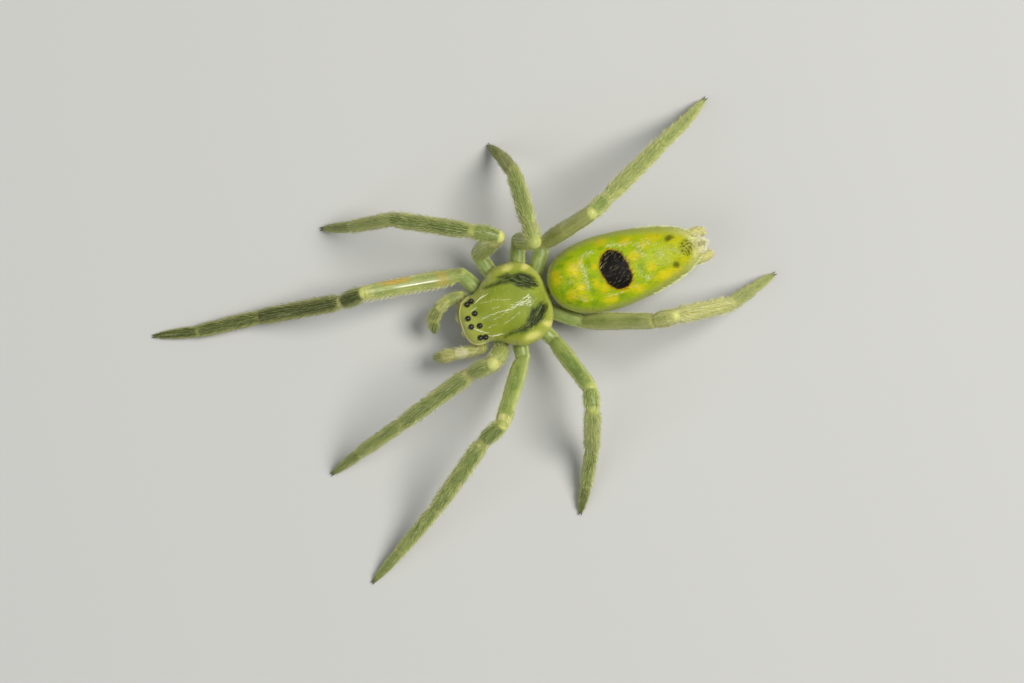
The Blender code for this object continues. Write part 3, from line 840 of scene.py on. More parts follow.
# Carapace: dark feathery marks as lines and widths, pale spots as ovals, and rows of white hairs
DARK_MARKS = (
    (((-0.780, 0.64), (-0.768, 0.98), (-0.800, 1.24)), (0.02, 0.07, 0.15)),
    (((-0.930, 1.12), (-0.880, 1.40)), (0.02, 0.12)),
    (
        ((-0.800, 1.22), (-0.770, 1.44), (-0.650, 1.68), (-0.500, 1.90), (-0.350, 2.05)),
        (0.15, 0.22, 0.42, 0.42, 0.16),
    ),
    (((0.760, 0.66), (0.745, 0.98), (0.775, 1.22)), (0.02, 0.07, 0.14)),
    (((0.790, 1.20), (0.770, 1.42), (0.660, 1.60), (0.530, 1.80), (0.420, 2.00)), (0.14, 0.18, 0.34, 0.44, 0.30)),
)
PALE_SPOTS = (
    (-1.100, 1.490, 0.14, 0.24, 5), (-0.960, 2.040, 0.13, 0.22, 25),
    (1.070, 1.440, 0.14, 0.32, 0), (0.915, 2.030, 0.13, 0.24, -30),
)
# Rows of white hairs: from, to, hairs, length and thickness
WHITE_ROWS = (
    ((-0.478, 0.16), (-0.575, 0.54), 8, 0.20, 0.019), ((-0.27, -0.04), (-0.34, 0.18), 5, 0.12, 0.014),
    ((-0.40, 0.30), (-0.36, 0.70), 7, 0.11, 0.012), ((-0.38, 0.72), (-0.20, 1.22), 8, 0.11, 0.013),
    ((-0.16, 0.55), (-0.10, 0.80), 5, 0.10, 0.012), ((0.06, 0.16), (0.02, 0.42), 6, 0.14, 0.013),
    ((0.02, 0.42), (0.07, 1.04), 11, 0.18, 0.014), ((0.04, 0.86), (0.08, 1.10), 5, 0.16, 0.014),
    ((0.17, -0.13), (0.37, 0.07), 7, 0.15, 0.018), ((0.44, 0.10), (0.47, 0.20), 4, 0.11, 0.018),
    ((0.53, 0.18), (0.63, 0.31), 4, 0.11, 0.015), ((0.622, 0.30), (0.635, 0.54), 6, 0.16, 0.020),
    ((0.36, 0.22), (0.33, 0.50), 6, 0.12, 0.012), ((0.20, 0.50), (0.16, 0.86), 7, 0.12, 0.012),
    ((0.42, 0.72), (0.38, 0.98), 5, 0.11, 0.014), ((0.37, 1.00), (0.29, 1.32), 6, 0.12, 0.014),
)
FAN_APEX = (0.06, 1.12)
FAN_CORNERS = ((-0.17, 1.87), (0.19, 1.86))
FAN_HAIRS = 62
# A pale line runs along the front edge of the head, a little inside it on the right
LIP_LINE = (
    (-0.75, 0.16), (-0.70, 0.00), (-0.62, -0.17), (-0.43, -0.30), (-0.20, -0.38), (0.22, -0.41),
    (0.46, -0.38), (0.63, -0.28), (0.715, -0.12), (0.735, 0.06),
)
# The hairs of the dark marks lean this much towards the middle for each millimetre backwards
FEATHER_LEAN = 0.75


def carapace_marks(x, y):
    """Dark marks and pale marks at the margin, as fields that are 0 at their edges."""
    dark = np.maximum.reduce([stroke(x, y, points, widths) for points, widths in DARK_MARKS])
    pale = np.maximum.reduce([blob(x, y, *spot) for spot in PALE_SPOTS])
    return dark, pale


def inside_outline(section, front, rear, x, y):
    """How far a point is inside a body's outline seen from above, in millimetres."""
    step = 0.01
    spots = np.arange(front - step, rear + 2 * step, step)
    centres, _, widths, _, _ = np.array([section(float(spot)) for spot in spots]).T
    slope = np.interp(y, spots, np.gradient(widths, step))
    from_axis = np.abs(x - np.interp(y, spots, centres))
    return (np.interp(y, spots, widths) - from_axis) / np.sqrt(1.0 + np.minimum(slope**2, 400.0))


def carapace_fields(x, y):
    dark, pale = carapace_marks(x, y)
    inside = inside_outline(carapace_section, CARAPACE_FRONT, CARAPACE_REAR, x, y)
    front = 1.0 - smooth_step(-0.02, 0.30, y)
    line = stroke(x, y, LIP_LINE, np.linspace(0.03, 0.055, len(LIP_LINE))) / 0.02
    before = smooth_step(0.0, 0.03, np.interp(x, *np.array(LIP_LINE).T) - y)
    lean = FEATHER_LEAN * smooth_step(1.0, 1.7, y)
    weave = np.stack([np.abs(x) + lean * (y - 1.0), y, np.sign(x)], axis=1)
    head = np.stack([line, before, front], axis=1)
    eyes = [(side * across, along) for side in (LEFT, RIGHT) for across, along, _ in EYES.values()]
    sockets = np.maximum.reduce([blob(x, y, *eye, SOCKET, SOCKET) for eye in eyes])
    return {"dark": dark, "pale": pale, "inside": inside, "head": head, "weave": weave, "sockets": sockets}


def carapace_colours(finish):
    """Olive green, paler to the margin, with feathery dark marks and a pale line along the front edge."""
    spot = finish.place()
    weave = finish.attribute("weave", "Vector")
    wisps = finish.noise(finish.stretched(weave, (15.0, 1.9, 1.0)), 1.5, 4.0, 0.62, 0.25)
    grain = finish.noise(spot, 26.0, 3.0, 0.6)
    clouds = finish.noise(spot, 1.5, 3.0, 0.5)
    inside = finish.attribute("inside")
    line, before, front = finish.parts(finish.attribute("head", "Vector"))
    olive = finish.blend((0.185, 0.235, 0.014), (0.250, 0.300, 0.026), clouds.step(0.35, 0.68))
    olive = finish.blend(olive, (0.330, 0.355, 0.065), front * 0.8)
    speckled = finish.blend(olive, (0.360, 0.400, 0.080), grain.step(0.56, 0.76) * 0.25)
    margin = finish.blend(speckled, (0.390, 0.415, 0.075), 0.80 - inside.step(0.04, 0.42) * 0.80)
    pale_edge = finish.attribute("pale") + (clouds - 0.5) * 0.5 + (grain - 0.5) * 0.4
    spotted = finish.blend(margin, (0.640, 0.610, 0.170), pale_edge.step(-0.15, 0.75) * 0.9)
    dark_edge = finish.attribute("dark") + (wisps - 0.5) * 0.26
    shaded = finish.blend(spotted, (0.110, 0.145, 0.016), dark_edge.step(-0.09, 0.02) * 0.7)
    dark = finish.blend((0.014, 0.022, 0.003), (0.100, 0.130, 0.025), wisps.step(0.47, 0.62))
    marked = finish.blend(shaded, dark, dark_edge.step(-0.03, 0.05) * 0.95)
    lipped = finish.blend(marked, (0.190, 0.175, 0.020), before * 0.8)
    lined = finish.blend(lipped, (0.800, 0.740, 0.260), line.step(-0.4, 0.7))
    socket = (finish.attribute("sockets") + (grain - 0.5) * 0.3).step(-0.05, 0.20)
    return finish.blend(lined, (0.022, 0.018, 0.006), socket * 0.9), wisps, grain, clouds


def make_carapace():
    shape = lofted(CARAPACE_FRONT + 0.005, CARAPACE_REAR - 0.005, carapace_section, rings=200, sides=200)
    cut(shape, (0, 0, CARAPACE_UNDERSIDE), (0, 0, -1))
    mesh = mesh_from(shape)
    places = coordinates(mesh)
    x, y, z = places.T
    # Shallow grooves between head and thorax and from the middle outwards, and a low ridge along the margin
    groove = np.zeros(len(x))
    for sign in (-1, 1):
        neck = ((sign * 0.72, 0.35), (sign * 0.42, 0.95), (0.0, 1.30))
        groove = np.maximum(groove, stroke(x, y, neck, (0.26,) * 3) / 0.13)
        for reach, heading in ((0.9, 20), (1.0, -15), (0.9, -50)):
            turn = math.radians(heading)
            line = ((sign * 0.15, 1.45), (sign * reach * math.cos(turn), 1.45 - reach * math.sin(turn)))
            groove = np.maximum(groove, 0.5 * stroke(x, y, line, (0.24, 0.24)) / 0.12)
    pit = stroke(x, y, ((0.0, 1.28), (0.0, 1.55)), (0.16, 0.16)) / 0.08
    places[:, 2] -= 0.012 * smooth_step(0.0, 1.0, groove) * smooth_step(1.46, 1.6, z)
    places[:, 2] -= 0.015 * smooth_step(0.0, 1.0, pit)
    inside = inside_outline(carapace_section, CARAPACE_FRONT, CARAPACE_REAR, x, y)
    places[:, 2] += 0.010 * np.exp(-(((inside - 0.03) / 0.02) ** 2))
    mesh.vertices.foreach_set("co", places.ravel())
    set_attributes(mesh, carapace_fields(x, y))
    finish = Finish(
        "waxy_olive_green",
        Roughness=0.32,
        IOR=1.40,
        Subsurface_Weight=0.35,
        Subsurface_Radius=(0.8, 1.0, 0.1),
        Subsurface_Scale=0.00012,
        Specular_IOR_Level=0.35,
        Coat_Roughness=0.12,
    )
    colour, wisps, grain, clouds = carapace_colours(finish)
    _, along, _ = finish.parts(finish.place())
    matt = along.step(0.80, 1.25)
    finish.set("Base Color", colour)
    finish.set("Roughness", 0.24 + grain * 0.2 + matt * 0.28)
    finish.set("Coat Weight", (0.20 + clouds * 0.3) * (1.0 - matt * 0.95))
    finish.bump(grain * 0.5 + wisps * 0.5, 0.000014, 0.6)
    tree = surface_of(mesh)
    place(mesh, "carapace_plate", finish, "carapace", ["carapace"])
    return tree


def from_above(tree, x, y):
    """The point and normal of a surface under a place seen from above."""
    hit, normal, _, _ = tree.ray_cast(Vector((x, y, 6.0)), Vector((0, 0, -1)))
    return hit, normal


def carapace_unwrap(x, y):
    """Round the long axis of the carapace, and along it."""
    _, centre_z, half_width, rise, _ = carapace_section(y)
    sideways = min(max(x / max(half_width, 1e-3), -1.0), 1.0)
    length = CARAPACE_REAR - CARAPACE_FRONT
    return 0.5 + math.asin(sideways) / math.pi * 0.96, (y - CARAPACE_FRONT) / length


def make_carapace_hair(tree):
    roots = Roots()

    def grow(x, y, heading, length, width, slope, tone):
        hit, normal = from_above(tree, x, y)
        if hit is not None and normal.z > 0.05:
            lie = Vector((math.cos(heading), math.sin(heading), 0))
            roots.add(hit, normal, lie, carapace_unwrap(x, y), length, width, slope, tone)

    for (x0, y0), (x1, y1), count, length, width in WHITE_ROWS:
        heading = math.atan2(y1 - y0, x1 - x0)
        for index in range(count):
            share = (index + 0.5 * random.random()) / count
            x, y = mix(x0, x1, share), mix(y0, y1, share)
            swing = random.normal(0.0, 0.14)
            x += random.normal(0.0, 0.007)
            grow(x, y, heading + swing, length * (0.8 + 0.5 * random.random()), width * 1.15, 12, 1.0)

    def grow_towards(tip_x, tip_y, heading, length, width):
        grow(tip_x - length * math.cos(heading), tip_y - length * math.sin(heading), heading, length, width, 12, 1.0)

    for share in np.linspace(0.10, 1.0, FAN_HAIRS) ** 0.62:
        side = random.random()
        corner_x, corner_y = (mix(a, b, side) for a, b in zip(*FAN_CORNERS))
        x, y = mix(FAN_APEX[0], corner_x, share), mix(FAN_APEX[1], corner_y, share)
        ray = math.atan2(corner_y - FAN_APEX[1], corner_x - FAN_APEX[0])
        grow_towards(x, y, ray + random.normal(0.0, 0.26), 0.12 + 0.08 * random.random(), 0.017)
    for side in np.linspace(0.0, 1.0, 7):
        corner_x, corner_y = (mix(a, b, side) for a, b in zip(*FAN_CORNERS))
        grow_towards(corner_x, corner_y, math.radians(90) + random.normal(0.0, 0.3), 0.17, 0.018)
        if side > 0.5:
            grow_towards(corner_x, corner_y, random.normal(0.0, 0.45), 0.15, 0.017)
    spread = random.random((9000, 2))
    x, y = mix(-1.25, 1.25, spread[:, 0]), mix(-0.4, 2.3, spread[:, 1])
    fields = carapace_fields(x, y)
    for spot_x, spot_y, depth, edge in zip(x, y, fields["dark"], fields["inside"]):
        if depth > -0.02 and random.random() < 0.42:
            lean = FEATHER_LEAN * float(smooth_step(0.9, 1.5, spot_y))
            heading = math.atan2(1.0, -math.copysign(lean, spot_x)) + random.normal(0.0, 0.22)
            pale = random.random() < 0.12
            grow(spot_x, spot_y, heading, 0.12 + 0.10 * random.random(), 0.012, 16, 0.40 if pale else 0.0)
        elif 0.0 < edge < 0.9 and random.random() < (0.22 if edge < 0.14 else 0.03):
            heading = math.atan2(spot_y - 0.7, spot_x) + random.normal(0.0, 0.3)
            grow(spot_x, spot_y, heading, 0.08 + 0.05 * random.random(), 0.010, 24, 0.35)
    finish = Finish("carapace_hair", Roughness=0.5, Specular_IOR_Level=0.05)
    colour, _, _, _ = carapace_colours(finish)
    tone = finish.attribute("tone")
    finish.set("Base Color", finish.blend(colour, (0.97, 0.96, 0.76), tone))
    x, y, _ = np.array(roots.places).T
    coat("carapace_hair", "carapace", finish, roots, carapace_fields(x, y))


# Abdomen: ovals of colour as x, y, half-width, half-length
ABDOMEN_YELLOW = (
    (-0.28, 3.30, 0.30, 0.24), (0.30, 3.30, 0.22, 0.19), (0.93, 4.02, 0.15, 0.25), (0.95, 4.92, 0.15, 0.28),
    (0.86, 5.80, 0.17, 0.42), (0.88, 6.10, 0.12, 0.24),
)
ABDOMEN_OCHRE = (
    (-0.38, 2.70, 0.19, 0.22), (-0.20, 2.75, 0.18, 0.20), (0.40, 3.00, 0.20, 0.22), (-0.44, 3.60, 0.12, 0.12),
    (-0.15, 3.90, 0.12, 0.15), (0.33, 3.78, 0.17, 0.15), (0.56, 3.95, 0.18, 0.18), (0.80, 4.60, 0.13, 0.30),
    (-0.76, 4.35, 0.16, 0.22), (0.02, 5.10, 0.20, 0.30), (0.43, 4.90, 0.16, 0.15), (-0.52, 5.05, 0.18, 0.24),
    (0.48, 5.48, 0.17, 0.20), (-0.22, 5.50, 0.17, 0.20), (-0.32, 5.88, 0.15, 0.40), (0.66, 6.50, 0.18, 0.24),
    (0.62, 3.30, 0.14, 0.12), (0.02, 6.50, 0.18, 0.26),
)
ABDOMEN_SHADE = (
    (-0.54, 2.95, 0.08, 0.20), (-0.12, 3.08, 0.09, 0.14), (0.13, 2.98, 0.08, 0.16), (0.55, 2.86, 0.12, 0.14),
    (0.68, 3.10, 0.09, 0.14), (-0.68, 3.27, 0.10, 0.18), (-0.28, 3.74, 0.17, 0.12), (-0.60, 4.28, 0.10, 0.14),
    (0.50, 3.60, 0.22, 0.12), (0.85, 3.50, 0.12, 0.14), (0.40, 5.20, 0.22, 0.14), (-0.10, 5.32, 0.26, 0.12),
    (0.95, 4.35, 0.10, 0.18), (-0.62, 4.95, 0.07, 0.16), (0.25, 2.75, 0.20, 0.10), (0.05, 3.66, 0.16, 0.08),
)
ABDOMEN_DARK = ((-0.12, 6.28, 0.13, 0.17), (0.70, 6.20, 0.14, 0.15))
SPECKLES = (0.34, 6.68, 0.32, 0.27)
SPECKLE_SPACING = 0.064
SPOT_CENTRE = (0.15, 4.46)
SPOT_REACH = (0.60, 0.56, 0.49, 0.43, 0.42, 0.49, 0.60, 0.63, 0.57, 0.42, 0.39, 0.42, 0.53)
# Bands of short white hairs: a line, the band's width and how many hairs
WHITE_BANDS = (
    (((-0.52, 3.50), (-0.30, 3.56), (0.0, 3.52), (0.25, 3.48), (0.46, 3.46)), 0.17, 165),
    (((-0.10, 2.90), (0.10, 3.60)), 0.90, 40),
    (((0.10, 5.10), (0.30, 6.20)), 0.90, 50),
    (((-0.52, 3.30), (-0.30, 3.44)), 0.16, 14),
    (((0.56, 3.05), (0.80, 3.25), (0.92, 3.45)), 0.24, 34),
    (((-0.62, 3.50), (-0.70, 3.98)), 0.24, 36),
    (((-0.74, 4.45), (-0.64, 4.75), (-0.46, 4.98)), 0.22, 44),
    (((-0.50, 5.10), (-0.30, 5.32), (-0.05, 5.22)), 0.26, 46),
    (((0.04, 5.34), (0.20, 5.42)), 0.18, 14),
    (((0.48, 5.05), (0.76, 5.20), (0.96, 5.30)), 0.22, 44),
    (((0.04, 5.66), (0.36, 5.80), (0.06, 5.92)), 0.24, 34),
    (((-0.42, 5.55), (-0.10, 5.90)), 0.26, 22),
    (((0.40, 5.60), (0.62, 5.95)), 0.26, 20),
    (((0.15, 6.20), (0.45, 6.40)), 0.26, 22),
    (((-0.05, 2.95), (0.10, 3.34)), 0.20, 14),
    (((0.92, 3.84), (1.00, 4.40)), 0.16, 26),
    (((0.98, 4.60), (0.92, 5.30)), 0.16, 24),
)


def black_spot(x, y):
    """The black spot on the back: positive inside, 0 on its edge, in millimetres."""
    off_x, off_y = x - SPOT_CENTRE[0], y - SPOT_CENTRE[1]
    angles = np.linspace(-math.pi, math.pi, len(SPOT_REACH) + 1)
    reach = np.interp(np.arctan2(off_y, off_x), angles, SPOT_REACH + SPOT_REACH[:1])
    return reach - np.hypot(off_x, off_y)


def abdomen_fields(x, y, z):
    yellow = np.maximum.reduce([blob(x, y, *spot) for spot in ABDOMEN_YELLOW])
    ochre = np.maximum.reduce([blob(x, y, *spot) for spot in ABDOMEN_OCHRE])
    shade = np.maximum.reduce([blob(x, y, *spot) for spot in ABDOMEN_SHADE])
    dark = np.maximum.reduce([blob(x, y, *spot) for spot in ABDOMEN_DARK])
    axis_z = abdomen_axis(y)[1]
    upper = smooth_step(0.05, 0.32, z - axis_z)
    inside = inside_outline(abdomen_section, ABDOMEN_FRONT, ABDOMEN_TIP, x, y)
    rim = 1.0 - smooth_step(0.04, mix(0.20, 0.33, smooth_step(4.8, 6.4, y)), inside)
    freckles = smooth_step(0.0, 0.4, blob(x, y, *SPECKLES)) * (upper > 0.0)
    hidden = upper <= 0.0
    fields = {"yellow": yellow, "ochre": ochre, "shade": shade, "dark": dark, "black": black_spot(x, y)}
    fields = {name: np.where(hidden, -2.0, values) for name, values in fields.items()}
    fields["sides"] = np.stack([upper, rim, freckles], axis=1)
    return fields


def abdomen_colours(finish):
    """Yellow-green with yellow, ochre and darker green blotches, a black spot and a pale translucent rim."""
    spot = finish.place()
    wobble = finish.noise(spot, 5.0, 4.0, 0.62)
    wisps = finish.noise(finish.stretched(spot, (14.0, 4.0, 4.0)), 1.7, 4.0, 0.65)
    clouds = finish.noise(spot, 1.9, 3.0, 0.55)
    cells = finish.cells(spot, 11.0)
    freckle = finish.cells(spot, 1.0 / SPECKLE_SPACING)
    upper, rim, freckles = finish.parts(finish.attribute("sides", "Vector"))
    _, along, _ = finish.parts(spot)
    green = finish.blend((0.265, 0.380, 0.003), (0.350, 0.445, 0.003), clouds.step(0.36, 0.66))
    netting = (1.0 - cells.step(0.05, 0.5)) * wisps.step(0.4, 0.7)
    netted = finish.blend(green, (0.460, 0.540, 0.012), netting * 0.5)
    shade_edge = finish.attribute("shade") + (wobble - 0.5) * 1.5
    shaded = finish.blend(netted, (0.150, 0.270, 0.003), shade_edge.step(-0.2, 0.75) * 0.65)
    rearward = finish.blend(shaded, (0.375, 0.405, 0.002), along.step(4.9, 6.5) * 0.85)
    ochre_edge = finish.attribute("ochre") + (wobble - 0.5) * 1.5
    ochre_share = 0.85 - along.step(5.4, 6.5) * 0.40
    tinted = finish.blend(rearward, (0.540, 0.460, 0.003), ochre_edge.step(-0.35, 0.85) * ochre_share)
    yellow_edge = finish.attribute("yellow") + (wobble - 0.5) * 1.4
    spotted = finish.blend(tinted, (0.600, 0.520, 0.009), yellow_edge.step(-0.40, 0.85) * 0.95)
    brighter = yellow_edge.step(0.35, 0.95) * along.step(3.9, 3.5) * 0.8
    bright = finish.blend(spotted, (0.700, 0.620, 0.060), brighter)
    creamy = finish.blend(bright, (0.560, 0.535, 0.180), along.step(6.66, 6.92) * 0.85)
    dark_edge = finish.attribute("dark") + (wobble - 0.5) * 1.2
    smudged = finish.blend(creamy, (0.075, 0.075, 0.004), dark_edge.step(-0.10, 0.75) * 0.9)
    dots = (1.0 - freckle.step(0.28, 0.58)) * freckles
    olive = finish.blend(smudged, (0.230, 0.220, 0.010), freckles * 0.35)
    speckled = finish.blend(olive, (0.050, 0.047, 0.007), dots * 0.92)
    black_edge = finish.attribute("black") + (wobble - 0.5) * 0.08 + (wisps - 0.5) * 0.09
    rusty = finish.blend(speckled, (0.360, 0.220, 0.003), black_edge.step(-0.10, -0.015) * 0.8)
    brown = finish.blend(rusty, (0.050, 0.016, 0.003), black_edge.step(-0.022, 0.012))
    black = finish.blend(brown, (0.0045, 0.0040, 0.0030), black_edge.step(0.0, 0.045))
    pale = finish.blend((0.350, 0.375, 0.085), (0.540, 0.520, 0.190), along.step(6.2, 6.9))
    edged = finish.blend(black, pale, rim * 0.85)
    whole = finish.blend((0.380, 0.420, 0.095), edged, upper)
    cream = finish.blend((0.540, 0.520, 0.160), (0.660, 0.625, 0.270), wisps.step(0.35, 0.70))
    return finish.blend(whole, cream, along.step(6.88, 7.06) * 0.9), wisps, cells, black_edge


def tubercle_section(y):
    size = rounded((y - ABDOMEN_END) / (TUBERCLE_TIP - ABDOMEN_END), 1.4, 1.3)
    sideways = abdomen_axis(y)[0] + TUBERCLE_SIDE
    height = (TUBERCLE_HALF_HEIGHT - SKIN_INSET) * size
    return sideways, TUBERCLE_Z, (TUBERCLE_HALF_WIDTH - SKIN_INSET) * size, height, height


def tubercle_cone():
    """The flat cone over the spinnerets."""
    return lofted(ABDOMEN_END - 0.2, TUBERCLE_TIP - 0.005, tubercle_section, rings=90, sides=90)


def spinneret_line(name):
    """Root, elbow and tip of a spinneret."""
    sideways, height, length, bend, _, tip_radius = SPINNERETS[name]
    root_y = ABDOMEN_END - (END_EDGE_Z - height) * END_LEAN
    root = Vector((abdomen_axis(root_y)[0] + sideways, root_y, height))
    straight = root + Vector((ABDOMEN_TURN * length, length - tip_radius, -SPINNERET_DROOP * length))
    return root, root.lerp(straight, 0.70), straight + Vector((bend * length, 0, 0))


def add_spinneret(shape, name):
    root, elbow, tip = spinneret_line(name)
    width, tip_width = (radius - SKIN_INSET for radius in SPINNERETS[name][4:])
    segment(shape, root - Vector((0, SPINNERET_SINK, 0)), elbow, (width, width * 1.02, width * 0.97))
    segment(shape, elbow, tip, (width * 0.97, width * 0.80, tip_width))


def make_abdomen():
    """Abdomen, spinnerets and the flat cone over them as one skin."""
    shape = lofted(ABDOMEN_FRONT + 0.005, ABDOMEN_TIP, abdomen_section, rings=260, sides=220)
    cut(shape, (0, ABDOMEN_END - 0.003, 0), (0, 1, 0))
    cut(shape, Vector((0, ABDOMEN_END, END_EDGE_Z)) - END_NORMAL * 0.003, END_NORMAL)
    cone = mesh_from(tubercle_cone())
    shape.from_mesh(cone)
    for name in SPINNERETS:
        add_spinneret(shape, name)
    mesh = fused(shape, BODY_VOXEL, 4)
    set_attributes(mesh, abdomen_fields(*coordinates(mesh).T))
    finish = Finish(
        "satin_yellow_green",
        Roughness=0.38,
        IOR=1.40,
        Subsurface_Weight=0.25,
        Subsurface_Radius=(0.9, 1.0, 0.05),
        Subsurface_Scale=0.00010,
        Specular_IOR_Level=0.18,
    )
    colour, wisps, cells, _ = abdomen_colours(finish)
    grain = finish.noise(finish.place(), 24.0, 3.0, 0.6)
    finish.set("Base Color", colour)
    finish.set("Roughness", 0.34 + grain * 0.25)
    finish.bump(grain * 0.3 + cells * 0.3 + wisps * 0.4, 0.00002, 0.7)
    tree = surface_of(mesh)
    place(mesh, "abdomen_skin", finish, "abdomen", ["abdomen", *SPINNERETS, "anal_tubercle"])
    return tree


def make_abdomen_hair(tree):
    roots = Roots()

    def grow(x, y, z, lie, length, width, slope, tone):
        centre = Vector((*abdomen_axis(y)[:1], y, abdomen_axis(y)[1]))
        outwards = (Vector((x, y, z)) - centre).normalized()
        hit, normal, _, _ = tree.ray_cast(centre + outwards * 2.0, -outwards)
        if hit is not None and abs(normal.y) < 0.93:
            angle = math.atan2(outwards.z, outwards.x) / (2 * math.pi) % 1.0
            unwrap = (angle, (y - ABDOMEN_FRONT) / (ABDOMEN_END - ABDOMEN_FRONT))
            roots.add(hit, normal, lie, unwrap, length, width, slope, tone)

    def backwards(jitter):
        return Vector((random.normal(0.0, jitter), 1.0, random.normal(0.0, jitter)))

    for y, angle, keep in random.random((9500, 3)):
        y = mix(ABDOMEN_FRONT + 0.05, ABDOMEN_END - 0.02, y)
        angle *= 2 * math.pi
        centre_x, centre_z, half_width, rise, drop = abdomen_section(y)
        size, thin, tone = random.random(3)
        if keep > half_width / ABDOMEN_HALF_WIDTH:
            continue
        height = rise if angle < math.pi else drop
        x, z = centre_x + math.cos(angle) * half_width, centre_z + math.sin(angle) * height
        inside = black_spot(np.array(x), np.array(y)) if angle < math.pi else -1.0
        lie = backwards(0.25)
        if inside > -0.02:
            tone = 0.6 if tone > 0.96 else 0.0
            grow(x, y, z, lie, 0.08 + 0.05 * size, 0.012, 34, tone)
        else:
            grow(x, y, z, lie, 0.09 + 0.07 * size, 0.009 + 0.004 * thin, 22, 0.02 + 0.26 * tone**5)
    for points, width, count in WHITE_BANDS:
        lengths = [math.dist(a, b) for a, b in zip(points, points[1:])]
        for _ in range(count):
            spot = random.random() * sum(lengths)
            index = 0
            while spot > lengths[index] and index < len(lengths) - 1:
                spot -= lengths[index]
                index += 1
            share = spot / lengths[index]
            x = mix(points[index][0], points[index + 1][0], share) + random.normal(0.0, width * 0.3)
            y = mix(points[index][1], points[index + 1][1], share) + random.normal(0.0, width * 0.3)
            lie = backwards(0.45) + Vector((-0.35, 0, 0))
            length = 0.09 + 0.06 * random.random()
            grow(x, y, abdomen_axis(y)[1] + 0.8, lie, length, 0.0145, 32, 0.70 + 0.3 * random.random())
    for _ in range(420):
        x, y = random.uniform(-0.5, 0.78), random.uniform(4.02, 4.90)
        inside = black_spot(np.array(x), np.array(y))
        tone, length = random.random(2)
        if inside > -0.03:
            lie = Vector((0.7 * random.random() - 0.95, 1.0, 0))
            near = 1.0 - min(abs(x + 0.95 * (y - 4.02) + 0.02) / 0.14, 1.0)
            bright = tone < 0.13 + 0.5 * near
            grow(x, y, 2.4, lie, 0.12 + 0.06 * length, 0.011, 24, mix(0.75, 0.95, near) if bright else 0.0)
    for share in np.linspace(-0.95, 0.95, 90):
        y = random.uniform(6.80, 6.94)
        centre_x, centre_z, half_width, _, _ = abdomen_section(y)
        x = centre_x + share * half_width
        tip = Vector((abdomen_axis(TUBERCLE_TIP)[0] + TUBERCLE_SIDE - x, TUBERCLE_TIP + 0.15 - y, -0.1))
        lie = tip.normalized() + backwards(0.3) * 0.3
        grow(x, y, centre_z + 0.5, lie, 0.14 + 0.10 * random.random(), 0.014, 16, 0.35 + 0.5 * abs(share))
    for side, low, high, count in ((1, 5.2, 6.9, 200), (-1, 5.4, 6.9, 110)):
        for _ in range(count):
            y = random.uniform(low, high)
            centre_x, centre_z, half_width, _, _ = abdomen_section(y)
            lie = Vector((side * 0.35, 1.0, 0.0)) + backwards(0.2) * 0.3
            height = random.uniform(-0.15, 0.2)
            length = 0.13 + 0.10 * random.random()
            grow(centre_x + side * half_width, y, centre_z + height, lie, length, 0.016, 30, 0.8)
    finish = Finish("abdomen_hair", Roughness=0.50, Specular_IOR_Level=0.15)
    colour, _, _, black_edge = abdomen_colours(finish)
    pale = finish.blend((0.90, 0.92, 0.50), (0.52, 0.43, 0.22), black_edge.step(0.0, 0.03))
    finish.set("Base Color", finish.blend(colour, pale, finish.attribute("tone")))
    coat("abdomen_hair", "abdomen", finish, roots, abdomen_fields(*np.array(roots.places).T))


def plain_fields(places, cream):
    """Leg attributes for flesh that isn't a leg: fine lines lengthwise, and no rings."""
    count = len(places)
    accents = np.tile((cream, 0.0, 0.0), (count, 1))
    return {"limb": places * np.array((2.0, 2.0, 0.8)), "accents": accents, "bands": np.zeros((count, 3))}


def make_underside(finish, hair):
    """Sternum, mouth plates and waist as one skin between the roots of the legs."""
    shape = bmesh.new()
    outline = [(x, y) for x, y in STERNUM_CORNERS] + [(-x, y) for x, y in reversed(STERNUM_CORNERS)]
    ring = [shape.verts.new((x * 0.985, y, STERNUM_UNDERSIDE + 0.02)) for x, y in outline]
    base = shape.faces.new(ring)
    risen = bmesh.ops.extrude_face_region(shape, geom=[base])
    lifted = [item for item in risen["geom"] if isinstance(item, bmesh.types.BMVert)]
    bmesh.ops.translate(shape, verts=lifted, vec=(0, 0, 1.46 - STERNUM_UNDERSIDE))
    bmesh.ops.bevel(
        shape,
        geom=[edge for edge in shape.edges if all(v.co.z < 1.0 for v in edge.verts)],
        offset=0.12,
        segments=4,
        profile=0.5,
        affect="EDGES",
        material=-1,
    )
    segment(shape, Vector((0, 2.0, PEDICEL_Z)), Vector((0, 2.9, PEDICEL_Z)), (0.13, 0.12, 0.13))
    segment(shape, Vector((0, 0.10, 0.98)), Vector((0, 0.42, 0.98)), (0.13, 0.17))
    mesh = fused(shape, BODY_VOXEL, 3)
    tree = surface_of(mesh)
    set_attributes(mesh, plain_fields(coordinates(mesh), 0.12))
    place(mesh, "underside_skin", finish, "underside", ["sternum", "pedicel"])
    roots = Roots()
    for x, y, size, tone in random.random((700, 4)):
        x, y = mix(-0.62, 0.62, x), mix(0.42, 2.25, y)
        hit, normal, _, _ = tree.ray_cast(Vector((x, y, 0.0)), Vector((0, 0, 1)))
        if hit is not None and hit.z < 0.85:
            lie = Vector((random.normal(0, 0.3), 1.0, 0))
            unwrap = (0.5 + x / 1.6, y / 2.6)
            roots.add(hit, normal, lie, unwrap, 0.10 + 0.07 * size, 0.012, 28, tone)
    coat("underside_hair", "underside", hair, roots, plain_fields(np.array(roots.places), 0.12))


